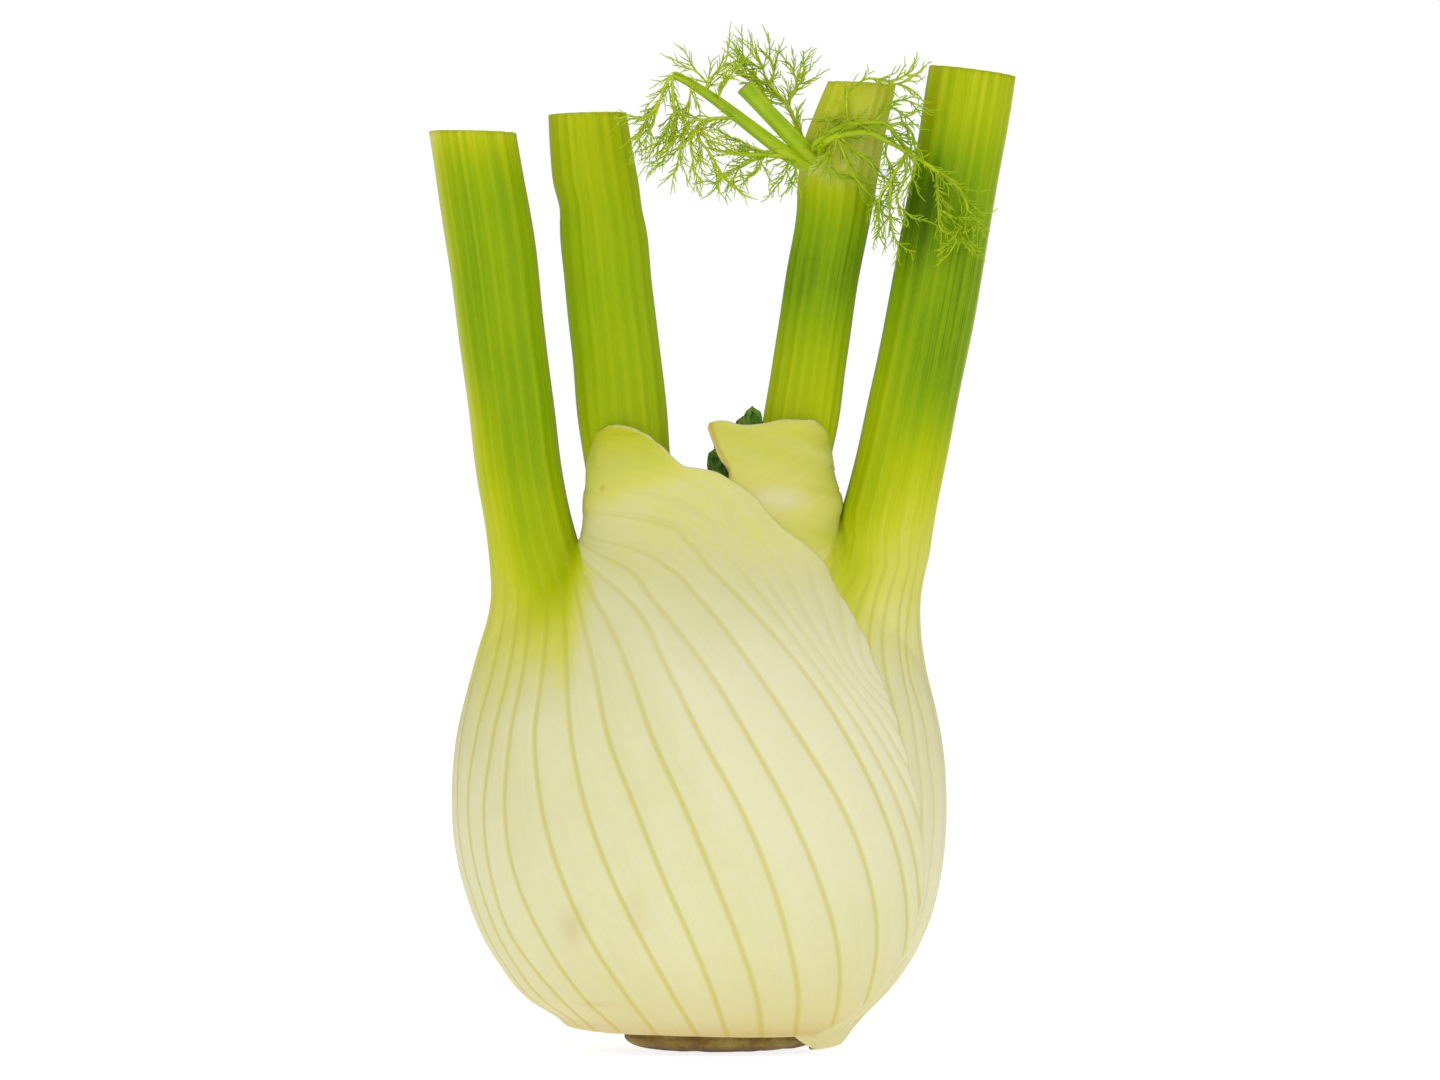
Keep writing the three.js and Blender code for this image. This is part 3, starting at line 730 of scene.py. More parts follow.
def outerLeftTone(points, values):
    x, y, z = points.T
    rib = values["rib"]
    own = easeBetween(rib, 8.4, 7)  # the part that runs up into the stalk
    outer = easeBetween(rib, 3.8, 0.9)  # the stalk's outer side
    flapLine = np.interp(x, [-28, -16, -10, 0], [110, 115, 118, 122])
    flap = easeBetween(z - flapLine, -4, 6) * (1 - own)  # the thin green top of the collar
    crowded = easeBetween(rib, 11, 12.6) * easeBetween(z, 30, 60)
    values["ribShow"] = 0.88 - 0.3 * easeBetween(z, 60, 84) - 0.25 * easeBetween(z, 92, 106)
    values["ribShow"] -= 0.3 * flap + 0.4 * crowded
    # painted rim light: the stalk's outer edge is made paler from 100 to 125 mm
    values["pallor"] = 0.4 * easeBetween(rib, 0.6, -0.6) * easeBetween(z, 100, 125)
    values["pallor"] += 0.36 * flap * easeBetween(z, 126, 117)
    values["streaky"] = 0.08 + 0.26 * easeBetween(z, 96, 112) * own + 0.3 * easeBetween(z, 174, 186)
    values["dry"] = sum(strength * patch(x, z, *spot) for strength, *spot in leftGreen["drySpots"])
    values["dry"] += 0.6 * patch(x, z, -24.1, 113.8, 0.5, 0.5) * (y < 0)  # one small brown speck on the flap
    # browner close to the root plate; the fade over the lowest 28 mm is painted shade towards the bottom, and
    # the flap gets a little brown
    values["dry"] += 0.36 * np.exp(-np.clip(z - outerLeft["foot"], 0, 40) / 3.2)
    values["dry"] += 0.1 * (1 - easeBetween(z, 6, 28)) + 0.1 * flap
    # on the stalk's inner side the green ends in a round tip beside the crotch
    lower = 3.2 * np.clip(x + 31.4, 0, 9) * (1 - easeBetween(z, 97, 104))
    outside, sheath = smoothCurve(leftGreen["outer"])(z), smoothCurve(leftGreen["sheath"])(z)
    inside = smoothCurve(leftGreen["inner"])(z - lower)
    stalk = inside + (outside - inside) * outer
    # painted rim light: the stalk's outer edge is also made less green from 112 mm up
    stalk = stalk - 0.28 * easeBetween(rib, 1.8, -0.3) * easeBetween(z, 112, 130)
    stalk = np.maximum(stalk, sheath * (z < 90))
    return np.clip(sheath + (stalk - sheath) * own + 0.2 * flap, 0, 1)


makeOuterLeaf("outerLeafLeft", "outer_leaf_left", outerLeft, outerLeftTone)

# The right outer leaf lies under the left one, and its front lobe is trimmed short
outerRight = {
    "side": 1, "seed": 8, "neck": 110, "foot": 0.3, "slantLength": 25, "topSlope": -0.128,
    "stalk": [
        [65, 9, 43.9, 12], [71, 10, 42.7, 13], [75, 10.7, 41.7, 13.4], [79, 11.4, 40.9, 13.6],
        [83, 12.3, 40.35, 13.7], [87.2, 14, 40.1, 13.6], [91.3, 16.3, 40.2, 12.8], [95.3, 18.4, 40.8, 11.2],
        [100, 20.6, 41.9, 9.6], [106, 22.9, 42.9, 8.6], [110, 24.35, 43.6, 8.2], [118, 26.5, 45.2, 7.9],
        [135, 30.2, 48.7, 7.7], [167, 36.4, 54.4, 7.6], [198.5, 42.2, 59.6, 7.4],
    ],
    "lean": [[60, 0], [100, -0.4], [140, 0.6], [198, 1.6]],
    "blend": [[72, 7], [86, 6], [93, 3], [97, 2], [104, 1.2], [110, 0.3]],
    "crease": [
        [0.3, 19.2], [0.9, 20.6], [2, 21], [4, 21], [10, 23.8], [30, 28.6], [52, 28], [76, 20.6],
        [88, 19.6], [95, 20.4], [100, 21.8], [105, 23.2], [110, 24.35],
    ],
    "frontMargin": [
        [0.3, 18.5], [0.9, 18.5], [2, 17.2], [3, 15.8], [5, 15.4], [10, 18], [30, 25], [52, 24], [76, 16],
        [92, 8], [100, 4.4], [104, 3.6], [110, 2.4],
    ],
    "backMargin": [
        [0.3, 16], [1, 15.4], [2, 14], [3.4, 11], [7, -2], [14, -8], [36, -9], [62, -8], [92, -8],
        [103, -6.4], [110, -1.4],
    ],
    "frontRim": [
        [22.3, 119.4], [22, 121.7], [21.5, 123.7], [20.7, 125.4], [18.9, 126.8], [16.8, 127.1],
        [12.2, 127.2], [8.1, 126.4], [2.8, 126.2], [0.6, 126.9], [-0.8, 127], [-2.3, 126.6], [-1.9, 124.8],
        [-1, 122.5], [-0.2, 120.5], [1, 118.7], [1.8, 117.4], [1.8, 115.2], [2.1, 112.6], [2.4, 110],
    ],
    "backRim": [[22.3, 119.4], [20, 121], [16, 121], [8, 118.4], [2.6, 114.6], [-1.4, 110]],
    "ribs": [
        [
            [1, 20.6], [12, 32], [24, 40.6], [40, 44.4], [55, 44.6], [66, 43], [77, 40.3], [83, 38.9],
            [90, 39], [100, 41],
        ],
        [
            [1, 19.6], [12, 30.6], [24, 39], [40, 42.6], [55, 42.6], [59.8, 41.8], [66.1, 41], [70.8, 39.6],
            [77.3, 37.7], [84, 37.2], [90, 37.9], [98, 39.4],
        ],
        [
            [1, 18], [12, 28.6], [24, 36.6], [40, 40], [55, 40.4], [61.5, 39.6], [70.8, 38.1], [75.3, 37.1],
            [79.7, 36.3], [83.6, 35.9], [88.6, 35.9], [93.1, 36.7], [98.2, 38.1],
        ],
        [
            [1, 16.4], [12, 26.4], [24, 34], [40, 37.4], [55, 37.6], [65, 36.4], [73.4, 34.3], [80.3, 32.9],
            [84.2, 32.7], [89.2, 33.1], [94.3, 34.3], [98.8, 35.9],
        ],
        [
            [1, 14.6], [12, 24], [24, 31], [40, 34.4], [55, 34.4], [68, 32.4], [80.9, 30], [84.2, 30.2],
            [88.8, 30.6], [93.7, 31.6], [98.4, 33.3],
        ],
        [
            [1, 12.6], [12, 21], [24, 27.6], [40, 31], [55, 31], [70, 29], [80, 27], [86.8, 27], [90.3, 28],
            [93.7, 29], [97.6, 30.4],
        ],
        [
            [1, 10.4], [12, 18], [24, 24], [40, 27], [60, 27], [80, 24], [86, 23.8], [90.9, 24.3],
            [94.3, 25.8], [97.8, 27.4],
        ],
        [
            [1, 8], [12, 14.6], [24, 20], [40, 23], [60, 23], [80, 20.6], [88, 21], [94.9, 22.3],
            [99.4, 24.1], [106, 29],
        ],
        [[1, 5], [24, 15], [40, 18], [60, 18], [80, 17], [92, 19.2], [98, 20.4], [103, 26]],
        [[1, 2], [40, 13], [70, 13.4], [90, 15], [97, 17], [102, 21], [104, 25]],
        [[1, -1], [40, 8], [80, 9], [96, 12.4], [104, 18], [108, 23], [110, 27]],
        [[1, -4], [40, 3], [80, 4], [98, 8], [106, 13], [112, 20], [114, 25]],
        [[1, -7], [40, -2], [80, -1], [100, 3], [108, 7], [116, 15], [119, 24]],
        [[1, -10], [40, -7], [80, -6], [100, -3], [111, 1], [119, 9], [122.4, 18], [124, 24]],
        [[1, -13], [40, -12], [80, -11], [104, -9], [114, -5], [121.6, 2], [125.4, 12], [127.6, 22]],
        [[1, -16], [40, -17], [80, -16], [110, -14], [120, -9], [126, -2], [129, 12]],
        [[1, -20], [40, -23], [80, -22], [112, -20], [122, -16], [130, -8]],
    ],
    "stalkRibs": [
        [0, 7.6], [25, 7], [50, 6], [70, 5], [90, 4], [108, 3], [126, 2], [145, 1], [163, 0], [180, -0.8],
    ],
    "stalkColumns": 220, "sideColumns": 60, "collarRows": 56, "rowStep": 0.95, "stalkStep": 1.1,
    "rimThickness": 1.2, "wall": 2.4, "ribEnd": 90,
}

rightGreen = {
    "outer": [
        [36, 0], [60, 0.09], [80, 0.18], [91, 0.25], [103, 0.34], [115, 0.48], [121, 0.6], [128, 0.82],
        [140, 1], [152, 1], [166, 0.92], [180, 0.8], [190, 0.62], [198, 0.56],
    ],
    "inner": [
        [62, 0.07], [74, 0.14], [83, 0.32], [95, 0.44], [103, 0.52], [110, 0.62], [118, 0.68], [131, 0.72],
        [142, 0.82], [152, 0.92], [166, 0.9], [180, 0.78], [190, 0.62], [198, 0.56],
    ],
}


def outerRightTone(points, values):
    x, y, z = points.T
    rib = values["rib"]
    own = easeBetween(rib, 8.6, 7.4)  # the part that runs up into the stalk
    outer = easeBetween(rib, 6.4, 3)  # the stalk's outer side
    lobe = (1 - own) * easeBetween(z, 98, 106)  # the trimmed front lobe
    values["ribShow"] = 0.35 + 0.3 * easeBetween(z, 56, 84) - 0.35 * easeBetween(z, 96, 114) - 0.3 * lobe
    values["ribShow"] *= easeBetween(z, 2, 9)
    # painted rim light: the stalk's outer edge is made paler; the lobe's own pallor is its paler tissue
    values["pallor"] = 0.3 * easeBetween(rib, 0.3, -0.6) * easeBetween(z, 104, 130)
    values["pallor"] += lobe * (0.36 + 0.2 * waves(67, x / 9, z / 2.2))
    values["streaky"] = 0.08 + 0.28 * easeBetween(z, 94, 112) * own
    values["streaky"] += 0.3 * easeBetween(z, 184, 198) + 0.04 * lobe
    # the lobe's torn edge has dried and the foot is browner; the fade over the lowest 28 mm is painted shade
    # towards the bottom
    tornLine = np.interp(z, [115, 118.7, 122.5, 126.6], [1.8, 1, -1, -2.3])
    torn = np.exp(-(((x - tornLine) / 0.5) ** 2)) * easeBetween(z, 114, 117) * (y < 0)
    values["dry"] = 0.5 * torn + 0.34 * np.exp(-z / 3.6)
    values["dry"] += 0.05 * (1 - easeBetween(z, 6, 28)) + 0.13 * lobe
    # painted shade: a touch more green in the crease of the crotch, at the front
    crotch = 0.05 * patch(x, z, 24, 106, 2, 5) * (y < 0)
    lower = 3 * np.clip(26 - x, 0, 9) * (1 - easeBetween(z, 97, 106))
    outside, inside = smoothCurve(rightGreen["outer"])(z), smoothCurve(rightGreen["inner"])(z - lower)
    stalk = inside + (outside - inside) * outer + 0.05 * easeBetween(z, 100, 116)
    stub = 0.36 + 0.09 * easeBetween(z, 117, 123) + 0.1 * easeBetween(x, 14, 21)
    # the paler patch low on the stub is partly its own paler tissue and partly a painted highlight
    stub = stub - 0.24 * patch(x, z, 12, 111.4, 7, 3.4) + 0.07 * waves(66, x / 7, z / 1.7)
    sheath = 0.05 * easeBetween(z, 40, 60) + 0.12 * easeBetween(z, 64, 84)
    sheath = sheath + 0.12 * (1 - easeBetween(z, 8, 36))
    tone = sheath + (stalk - sheath) * own * easeBetween(z, 40, 66) + (stub - sheath) * lobe + crotch
    # painted shadow of the fronds: a deeper green on the stalk under them
    behind = 0.26 * own * (y < 4) * patch(x + 0.2 * (174 - z), z, 41.5, 174, 6.5, 12)
    return np.clip(tone, 0, 1) + behind


def tuckUnder(points, near=0.9, under=3.4):
    # how far the right leaf lies below the left one: deep where it is covered, slight beside the edge
    x, y, z = points.T
    neck, gaps = outerLeft["neck"], []
    for part in ("front", "back"):
        margin, rim = outerLeft[part + "Margin"], outerLeft[part + "Rim"]
        line = smoothPath(rim + [[px, pz] for pz, px in reversed(margin[:-1])], 260)
        gap = np.hypot(x[:, None] - line[None, :, 0], z[:, None] - line[None, :, 1]).min(1)
        top = np.interp(x, *np.array(sorted(rim)).T, left=118, right=neck)
        covered = np.where(z < neck, x < smoothCurve(margin)(z), z < top)
        gaps.append(np.where(covered, -gap, gap))
    gap = np.where(y < 0, gaps[0], gaps[1])
    deep = near + (under - near) * easeBetween(-gap, 0, 5)
    sink = np.where(gap < 0, deep, near * (1 - easeBetween(gap, 0, 9)))
    sink = sink * (0.12 + 0.88 * easeBetween(z, 1, 12))
    return sink * np.where(gap > 0, 0.4 + 0.6 * easeBetween(z, 48, 76), 1)


makeOuterLeaf("outerLeafRight", "outer_leaf_right", outerRight, outerRightTone, tuckUnder)
print("outer leaves ready")

# The two inner leaves: their stalks show above the outer leaves, and their bases are wrapped inside.
# Stalk rows are [height, left, right, half depth], and green is [height, tone].
innerLeft = {
    "side": -1, "seed": 21, "slantLength": 20, "topSlope": 0.03, "foot": 8, "fineFrom": 96,
    "stalk": [
        [8, -23, 0.6, 11], [20, -37, 0.8, 19], [36, -43, 0.9, 24], [55, -44.6, 0.9, 26], [72, -41, 0, 22],
        [86, -34.5, -3, 14], [96, -26.6, -7, 7.4], [103, -25.4, -8.4, 6.6], [112, -26.6, -9.6, 6.4],
        [120, -28, -10.5, 6.9], [128, -29.1, -10.9, 7.3], [139, -30, -12, 7.2], [155, -31.8, -14, 7.2],
        [167.4, -32.9, -15.4, 7.2], [170, -32.9, -16, 7.1], [176, -34.3, -16.8, 7.2],
        [183, -34.9, -18.1, 7.1], [190, -35.3, -19.3, 7],
    ],
    "lean": [[90, 0.3], [112, 0.2], [124, 0.8], [140, 2], [190, 3.4]],
    "stalkRibs": [
        [0, 8.6], [20, 8], [42, 7], [62, 6], [81, 5], [99, 4], [118, 3], [138, 2], [159, 1], [180, -0.2],
    ],
    "columns": 200, "step": 1.1,
    "green": [[90, 0.2], [104, 0.5], [118, 0.68], [150, 0.84], [170, 0.8], [184, 0.68], [191, 0.6]],
}

innerRight = {
    "side": 1, "seed": 29, "slantLength": 20, "topSlope": -0.045, "foot": 8, "fineFrom": 96,
    "stalk": [
        [8, 2.4, 21, 11], [20, 2.2, 30, 19], [36, 2.1, 35.6, 24], [55, 2.1, 36, 26], [72, 2.4, 33, 22],
        [86, 3.4, 26, 14], [96, 4.2, 20.2, 7.2], [104, 5, 20.2, 6.2], [114, 6.4, 20.9, 5.6],
        [127, 8.2, 23.5, 6.4], [139, 10.1, 25.1, 6.4], [157, 12.9, 27.9, 6.4], [170, 15, 30.4, 6.5],
        [178, 15.4, 31.6, 7], [185, 16.8, 32.8, 6.9], [190, 18.9, 33.8, 6.4], [196, 21.5, 35.1, 6],
    ],
    "lean": [[90, 0.4], [112, 0.2], [124, 0.7], [140, 1.6], [190, 1]],
    "stalkRibs": [
        [0, 8.4], [22, 8], [44, 7], [63, 6], [82, 5], [100, 4], [119, 3], [138, 2], [158, 1], [180, -0.2],
    ],
    "columns": 200, "step": 1.1,
    # above the joint the tone is lighter, partly the stalk's own yellower top and partly painted light that
    # offsets the fronds' shadow there
    "green": [
        [90, 0.2], [106, 0.5], [128, 0.64], [140, 0.76], [156, 1.04], [166, 0.96], [172, 0.8], [176, 0.58],
        [181, 0.47], [197, 0.46],
    ],
}


def makeInnerLeaf(name, node, shape, toneAt):
    top = shape["stalk"][-1][0]
    low = np.arange(shape["foot"], shape["fineFrom"], 4.0)
    high = np.linspace(shape["fineFrom"], top, int((top - shape["fineFrom"]) / shape["step"]))
    points, rib = stalkRings(shape, np.concatenate([low, high])[:, None], shape["columns"])
    surface = Surface()
    surface.addGrid(points, leafValues(rib, 3.2, 1.0), shape["side"] < 0)
    addCut(surface, points[-1], shape["side"])
    share = np.linspace(1, 0, 6)[:, None, None]
    foot = points[0][:-1].mean(0)
    surface.addGrid(foot + (points[0] - foot)[None] * share, leafValues(0.0, 3.0, 1.0), shape["side"] > 0)
    surface.weld()
    x, y, z = surface.points.T
    ridge = 0.12 * np.cos(2 * np.pi * surface.values["rib"])
    ridge = ridge + 0.2 * waves(shape["seed"], x / 12, z / 16, y / 14)
    surface.push(ridge * easeBetween(z, 90, 100) * (surface.values["stalk"] < 1.5))
    surface.values["tone"] = toneAt(surface.points, surface.values)
    finishPiece(name, node, surface, [leafFlesh, cutPith])


def innerLeftTone(points, values):
    z = points[:, 2]
    values["ribShow"] = 0.2 + 0 * z
    # painted rim light: both edges of the stalk are made paler
    values["pallor"] = 0.3 * easeBetween(values["rib"], 0.6, 0) + 0.3 * easeBetween(values["rib"], 8, 8.6)
    values["streaky"] = 0.3 + 0.25 * easeBetween(z, 178, 190)
    values["dry"] = 0 * z
    return smoothCurve(innerLeft["green"])(z)


def innerRightTone(points, values):
    # the joint that the side stems leave from is a pale, uneven band
    x, y, z = points.T
    ragged = z + 1.8 * waves(61, x / 1.2, y / 1.7) + 1.0 * waves(62, x / 0.5, y / 0.6)
    joint = easeBetween(ragged, 173.4, 178.6) * (1 - easeBetween(ragged, 181, 187))
    facet = easeBetween(waves(64, x / 1.1, z / 1.6, y / 1.3), 0, 0.5)
    values["ribShow"] = 0.2 - 0.15 * joint
    # painted rim light: the stalk's outer edge is made paler; the joint's pale facets are its own colour
    values["pallor"] = (0.12 + 0.4 * facet) * joint + 0.12 * easeBetween(values["rib"], 0.6, 0)
    values["streaky"] = 0.3 - 0.15 * easeBetween(z, 172, 180)
    values["dry"] = 0 * z
    return smoothCurve(innerRight["green"])(z) - 0.06 * joint


makeInnerLeaf("innerLeafLeft", "inner_leaf_left", innerLeft, innerLeftTone)
makeInnerLeaf("innerLeafRight", "inner_leaf_right", innerRight, innerRightTone)
print("inner leaves ready")

# The heart: a tuft of small, crinkled young leaves. They are dark, soft and rough, with no gloss.
# Blade rows are [foot x, foot y, tip x, tip y, height, half width, the way that it faces in degrees].
heart = {
    "foot": 86, "speckle": 1.111,
    "tones": [(0.35, "#1E4200"), (0.75, "#3C6A06"), (1.0, "#6A8F22")],
    "blades": [
        [4.4, -1.0, 6.2, -1.2, 130.0, 2.3, -90], [2.6, -0.6, 4.4, -0.4, 127.9, 1.9, -70],
        [0.6, -1.2, -1.7, -1.8, 121.2, 1.8, -110], [1.8, -1.4, 0.2, -2.0, 119.4, 2.0, -90],
        [3.2, 1.4, 5.0, 2.0, 127.0, 2.2, 80], [0.6, 1.4, -0.4, 2.2, 123.0, 2.0, 110],
        [2.4, 0.4, 2.6, 0.8, 125.4, 2.1, 20], [5.6, 0.8, 7.4, 0.6, 126.4, 1.7, 10],
        [-0.2, 0.2, -1.4, 0.4, 122.2, 1.6, 170],
    ],
}


def heartMaterial():
    material, tree = newMaterial("roughYoungLeaf")
    shade = addNode(tree, "ShaderNodeAttribute", attribute_name="shade").outputs["Fac"]
    place = addNode(tree, "ShaderNodeTexCoord").outputs["Object"]
    speckle = {"Vector": place, "Scale": 1000 / heart["speckle"], "Detail": 3.0}
    speckle = addNode(tree, "ShaderNodeTexNoise", speckle)
    mixed = addNode(tree, "ShaderNodeMath", {0: speckle, 1: 0.5, 2: shade}, operation="MULTIPLY_ADD")
    base = addNode(tree, "ShaderNodeValToRGB", {"Fac": mixed}, stops=heart["tones"])
    bump = addNode(tree, "ShaderNodeBump", {"Height": speckle, "Distance": 0.0002})
    finish = {"Base Color": base, "Roughness": 0.7, "Normal": bump}
    shader = addNode(tree, "ShaderNodeBsdfPrincipled", finish)
    addNode(tree, "ShaderNodeOutputMaterial", {"Surface": shader})
    return material


def makeHeart():
    surface = Surface()
    up = np.linspace(0, 1, 44)[:, None]
    side = np.linspace(-1, 1, 17)[None]
    for number, (footX, footY, tipX, tipY, top, wide, facing) in enumerate(heart["blades"]):
        ahead, aside = math.cos(math.radians(facing)), math.sin(math.radians(facing))
        half = wide * (1 - up**34) ** 0.5
        crinkle = 0.5 * waves(40 + number, side * 3.1 + 0 * up, up * 34)
        crinkle = crinkle + 0.25 * np.sin(side * 9 + up * 44 + number)
        out = crinkle * 0.8 - 0.22 * half * side**2
        x = footX + (tipX - footX) * up**1.4 - aside * side * half + ahead * out
        y = footY + (tipY - footY) * up**1.4 + ahead * side * half + aside * out
        z = heart["foot"] + (top - heart["foot"]) * up + 0.7 * np.sin(side * 7 + number) * up
        front = np.stack([x, y, z], -1)
        thick = 0.3 + 0.3 * (1 - side**2) * (1 - 0.6 * up)
        back = front - np.stack([ahead * thick, aside * thick, 0 * thick], -1)
        shade = np.clip(0.25 + 0.45 * up**3 + 0.4 * crinkle, 0, 1)
        ring = np.concatenate([front, back[:, ::-1], front[:, :1]], axis=1)
        value = np.concatenate([shade, shade[:, ::-1], shade[:, :1]], axis=1)
        surface.addGrid(ring, {"shade": value}, True)
        for end, flip in ((0, False), (-1, True)):
            middle = np.broadcast_to(ring[end][:-1].mean(0), ring[end].shape)
            surface.addGrid(np.stack([ring[end], middle]), {"shade": value[end].mean()}, flip)
    surface.weld(0.01)
    finishPiece("heartLeaf", "heart_leaf", surface, [heartMaterial()])


makeHeart()

# The root plate: the trimmed base, a fibrous cut that has dried brown, dull and slightly hollow underneath.
# Outline rows are [height, share of the width].
rootPlate = {
    "halfWidth": 19.8, "halfDepth": 15.8, "offset": -0.6,
    "outline": [
        [0, 0.0], [0, 0.15], [0, 0.35], [0, 0.52], [0.2, 0.64], [0.5, 0.76], [1.0, 0.86], [1.7, 0.94],
        [2.6, 0.99], [3.6, 1.0], [5, 1.02], [6.4, 1.0], [7.6, 0.84], [8.6, 0.5], [9, 0.0],
    ],
    "tones": [(0.2, "#362200"), (0.42, "#6E5014"), (0.58, "#7E6824"), (0.8, "#A08C48")],
    "blotch": 8.333, "fibre": 1.613,  # sizes of the two noises that mix the tones
}


def rootMaterial():
    material, tree = newMaterial("driedRootCut")
    place = addNode(tree, "ShaderNodeTexCoord").outputs["Object"]
    blotches = {"Vector": place, "Scale": 1000 / rootPlate["blotch"], "Detail": 4.0, "Roughness": 0.65}
    fibres = {"Vector": place, "Scale": 1000 / rootPlate["fibre"], "Detail": 4.0, "Roughness": 0.7}
    blotch, fibre = (addNode(tree, "ShaderNodeTexNoise", noise) for noise in (blotches, fibres))
    spread = addNode(tree, "ShaderNodeMath", {0: blotch, 1: 0.8, 2: -0.15}, operation="MULTIPLY_ADD")
    mixed = addNode(tree, "ShaderNodeMath", {0: fibre, 1: 0.5, 2: spread}, operation="MULTIPLY_ADD")
    # painted shade: the cut is darkest at its lowest edge, where it curves under
    height = addNode(tree, "ShaderNodeSeparateXYZ", {"Vector": place}).outputs["Z"]
    underShade = {"Value": height, "From Min": 0.0006, "From Max": 0.0018, "To Min": -0.24, "To Max": 0.05}
    lower = addNode(tree, "ShaderNodeMapRange", underShade)
    mixed = addNode(tree, "ShaderNodeMath", {0: mixed, 1: lower}, operation="ADD")
    base = addNode(tree, "ShaderNodeValToRGB", {"Fac": mixed}, stops=rootPlate["tones"])
    bump = addNode(tree, "ShaderNodeBump", {"Height": mixed, "Distance": 0.0006})
    finish = {"Base Color": base, "Roughness": 0.85, "Normal": bump}
    shader = addNode(tree, "ShaderNodeBsdfPrincipled", finish)
    addNode(tree, "ShaderNodeOutputMaterial", {"Surface": shader})
    return material


def makeRootPlate():
    surface = Surface()
    outline = smoothPath(rootPlate["outline"], 90)
    turn = np.linspace(0, 2 * np.pi, 241)[None]
    z, share = outline[:, 0][:, None], outline[:, 1][:, None]
    wobble = 1 + 0.03 * np.sin(turn * 3 + 1) + 0.02 * np.sin(turn * 7 + 2.2) + 0.012 * np.sin(turn * 17)
    # above the visible band it grows wider, and closes the foot of the leaves
    flare = 1 + easeBetween(z, 3.6, 5.6) * np.where(np.cos(turn) < 0, 0.38, 0.16) * np.abs(np.cos(turn))
    x = rootPlate["halfWidth"] * share * wobble * flare * np.cos(turn)
    y = rootPlate["halfDepth"] * share * wobble * np.sin(turn)
    placed = x + rootPlate["offset"]
    rough = waves(51, placed / 3.2, y / 3.4, z / 2) * 0.35 + waves(52, placed / 1.1, y / 1.2, z / 0.9) * 0.14
    under = 1 - easeBetween(z, 0.2, 1.2)
    side = easeBetween(z, 0.4, 1.6) * (1 - easeBetween(z, 6, 8))
    hollow = np.abs(rough) * 0.6 * easeBetween(share, 1.0, 0.7) + 0.45 * (1 - easeBetween(share, 0.25, 0.75))
    height = np.maximum(z + under * hollow, 0)
    grow = 1 + side * rough * 0.04
    points = np.stack(np.broadcast_arrays(x * grow + rootPlate["offset"], y * grow, height), -1)
    surface.addGrid(points, {})
    surface.weld()
    finishPiece("rootPlate", "root_plate", surface, [rootMaterial()])


makeRootPlate()
print("heart and root plate ready")

# Young leaf and stem: bright, thin and matt, and lit partly from behind; tones run from pale to deep green
young = {
    "tones": [(0.1, "#D4DC42"), (0.45, "#B2C80E"), (0.7, "#90B206"), (0.95, "#557A04")],
    "blotch": 6.25,
}


def youngMaterial():
    material, tree = newMaterial("softYoungLeaf")
    shade = addNode(tree, "ShaderNodeAttribute", attribute_name="shade").outputs["Fac"]
    place = addNode(tree, "ShaderNodeTexCoord").outputs["Object"]
    blotch = {"Vector": place, "Scale": 1000 / young["blotch"], "Detail": 2.0}
    blotch = addNode(tree, "ShaderNodeTexNoise", blotch)
    mixed = addNode(tree, "ShaderNodeMath", {0: blotch, 1: 0.5, 2: shade}, operation="MULTIPLY_ADD")
    base = addNode(tree, "ShaderNodeValToRGB", {"Fac": mixed}, stops=young["tones"])
    shader = addNode(tree, "ShaderNodeBsdfPrincipled", {
        "Base Color": base, "Roughness": 0.55, "Specular IOR Level": 0.3,
        "Subsurface Weight": 0.4, "Subsurface Radius": (0.7, 1.0, 0.2), "Subsurface Scale": 0.0008})
    addNode(tree, "ShaderNodeOutputMaterial", {"Surface": shader})
    return material


softYoungLeaf = youngMaterial()

# Two side stems leave the inner right stalk near its top. Radius rows are [share of the length, radius].
sideStems = {
    "long": {
        "path": [
            [20.5, 0.5, 178.2], [17.5, -2.4, 179.2], [14.2, -4.6, 180.8], [8, -6.8, 185.2],
            [2, -8.6, 189.7], [-3.4, -10.2, 193.5], [-7.6, -11.4, 196], [-9.9, -12, 197],
        ],
        "radius": [[0, 1.6], [0.2, 1.5], [0.6, 1.2], [0.9, 0.85], [1, 0.7]],
    },
    "short": {
        "path": [
            [21, -0.5, 178.4], [17.6, -3.6, 181.5], [15.6, -5.2, 183.4], [12.5, -6.6, 186.5],
            [8.2, -8, 190.9], [4.6, -8.8, 194.9],
        ],
        "radius": [[0, 1.7], [0.25, 1.8], [0.9, 1.75], [1, 1.9]],
    },
}


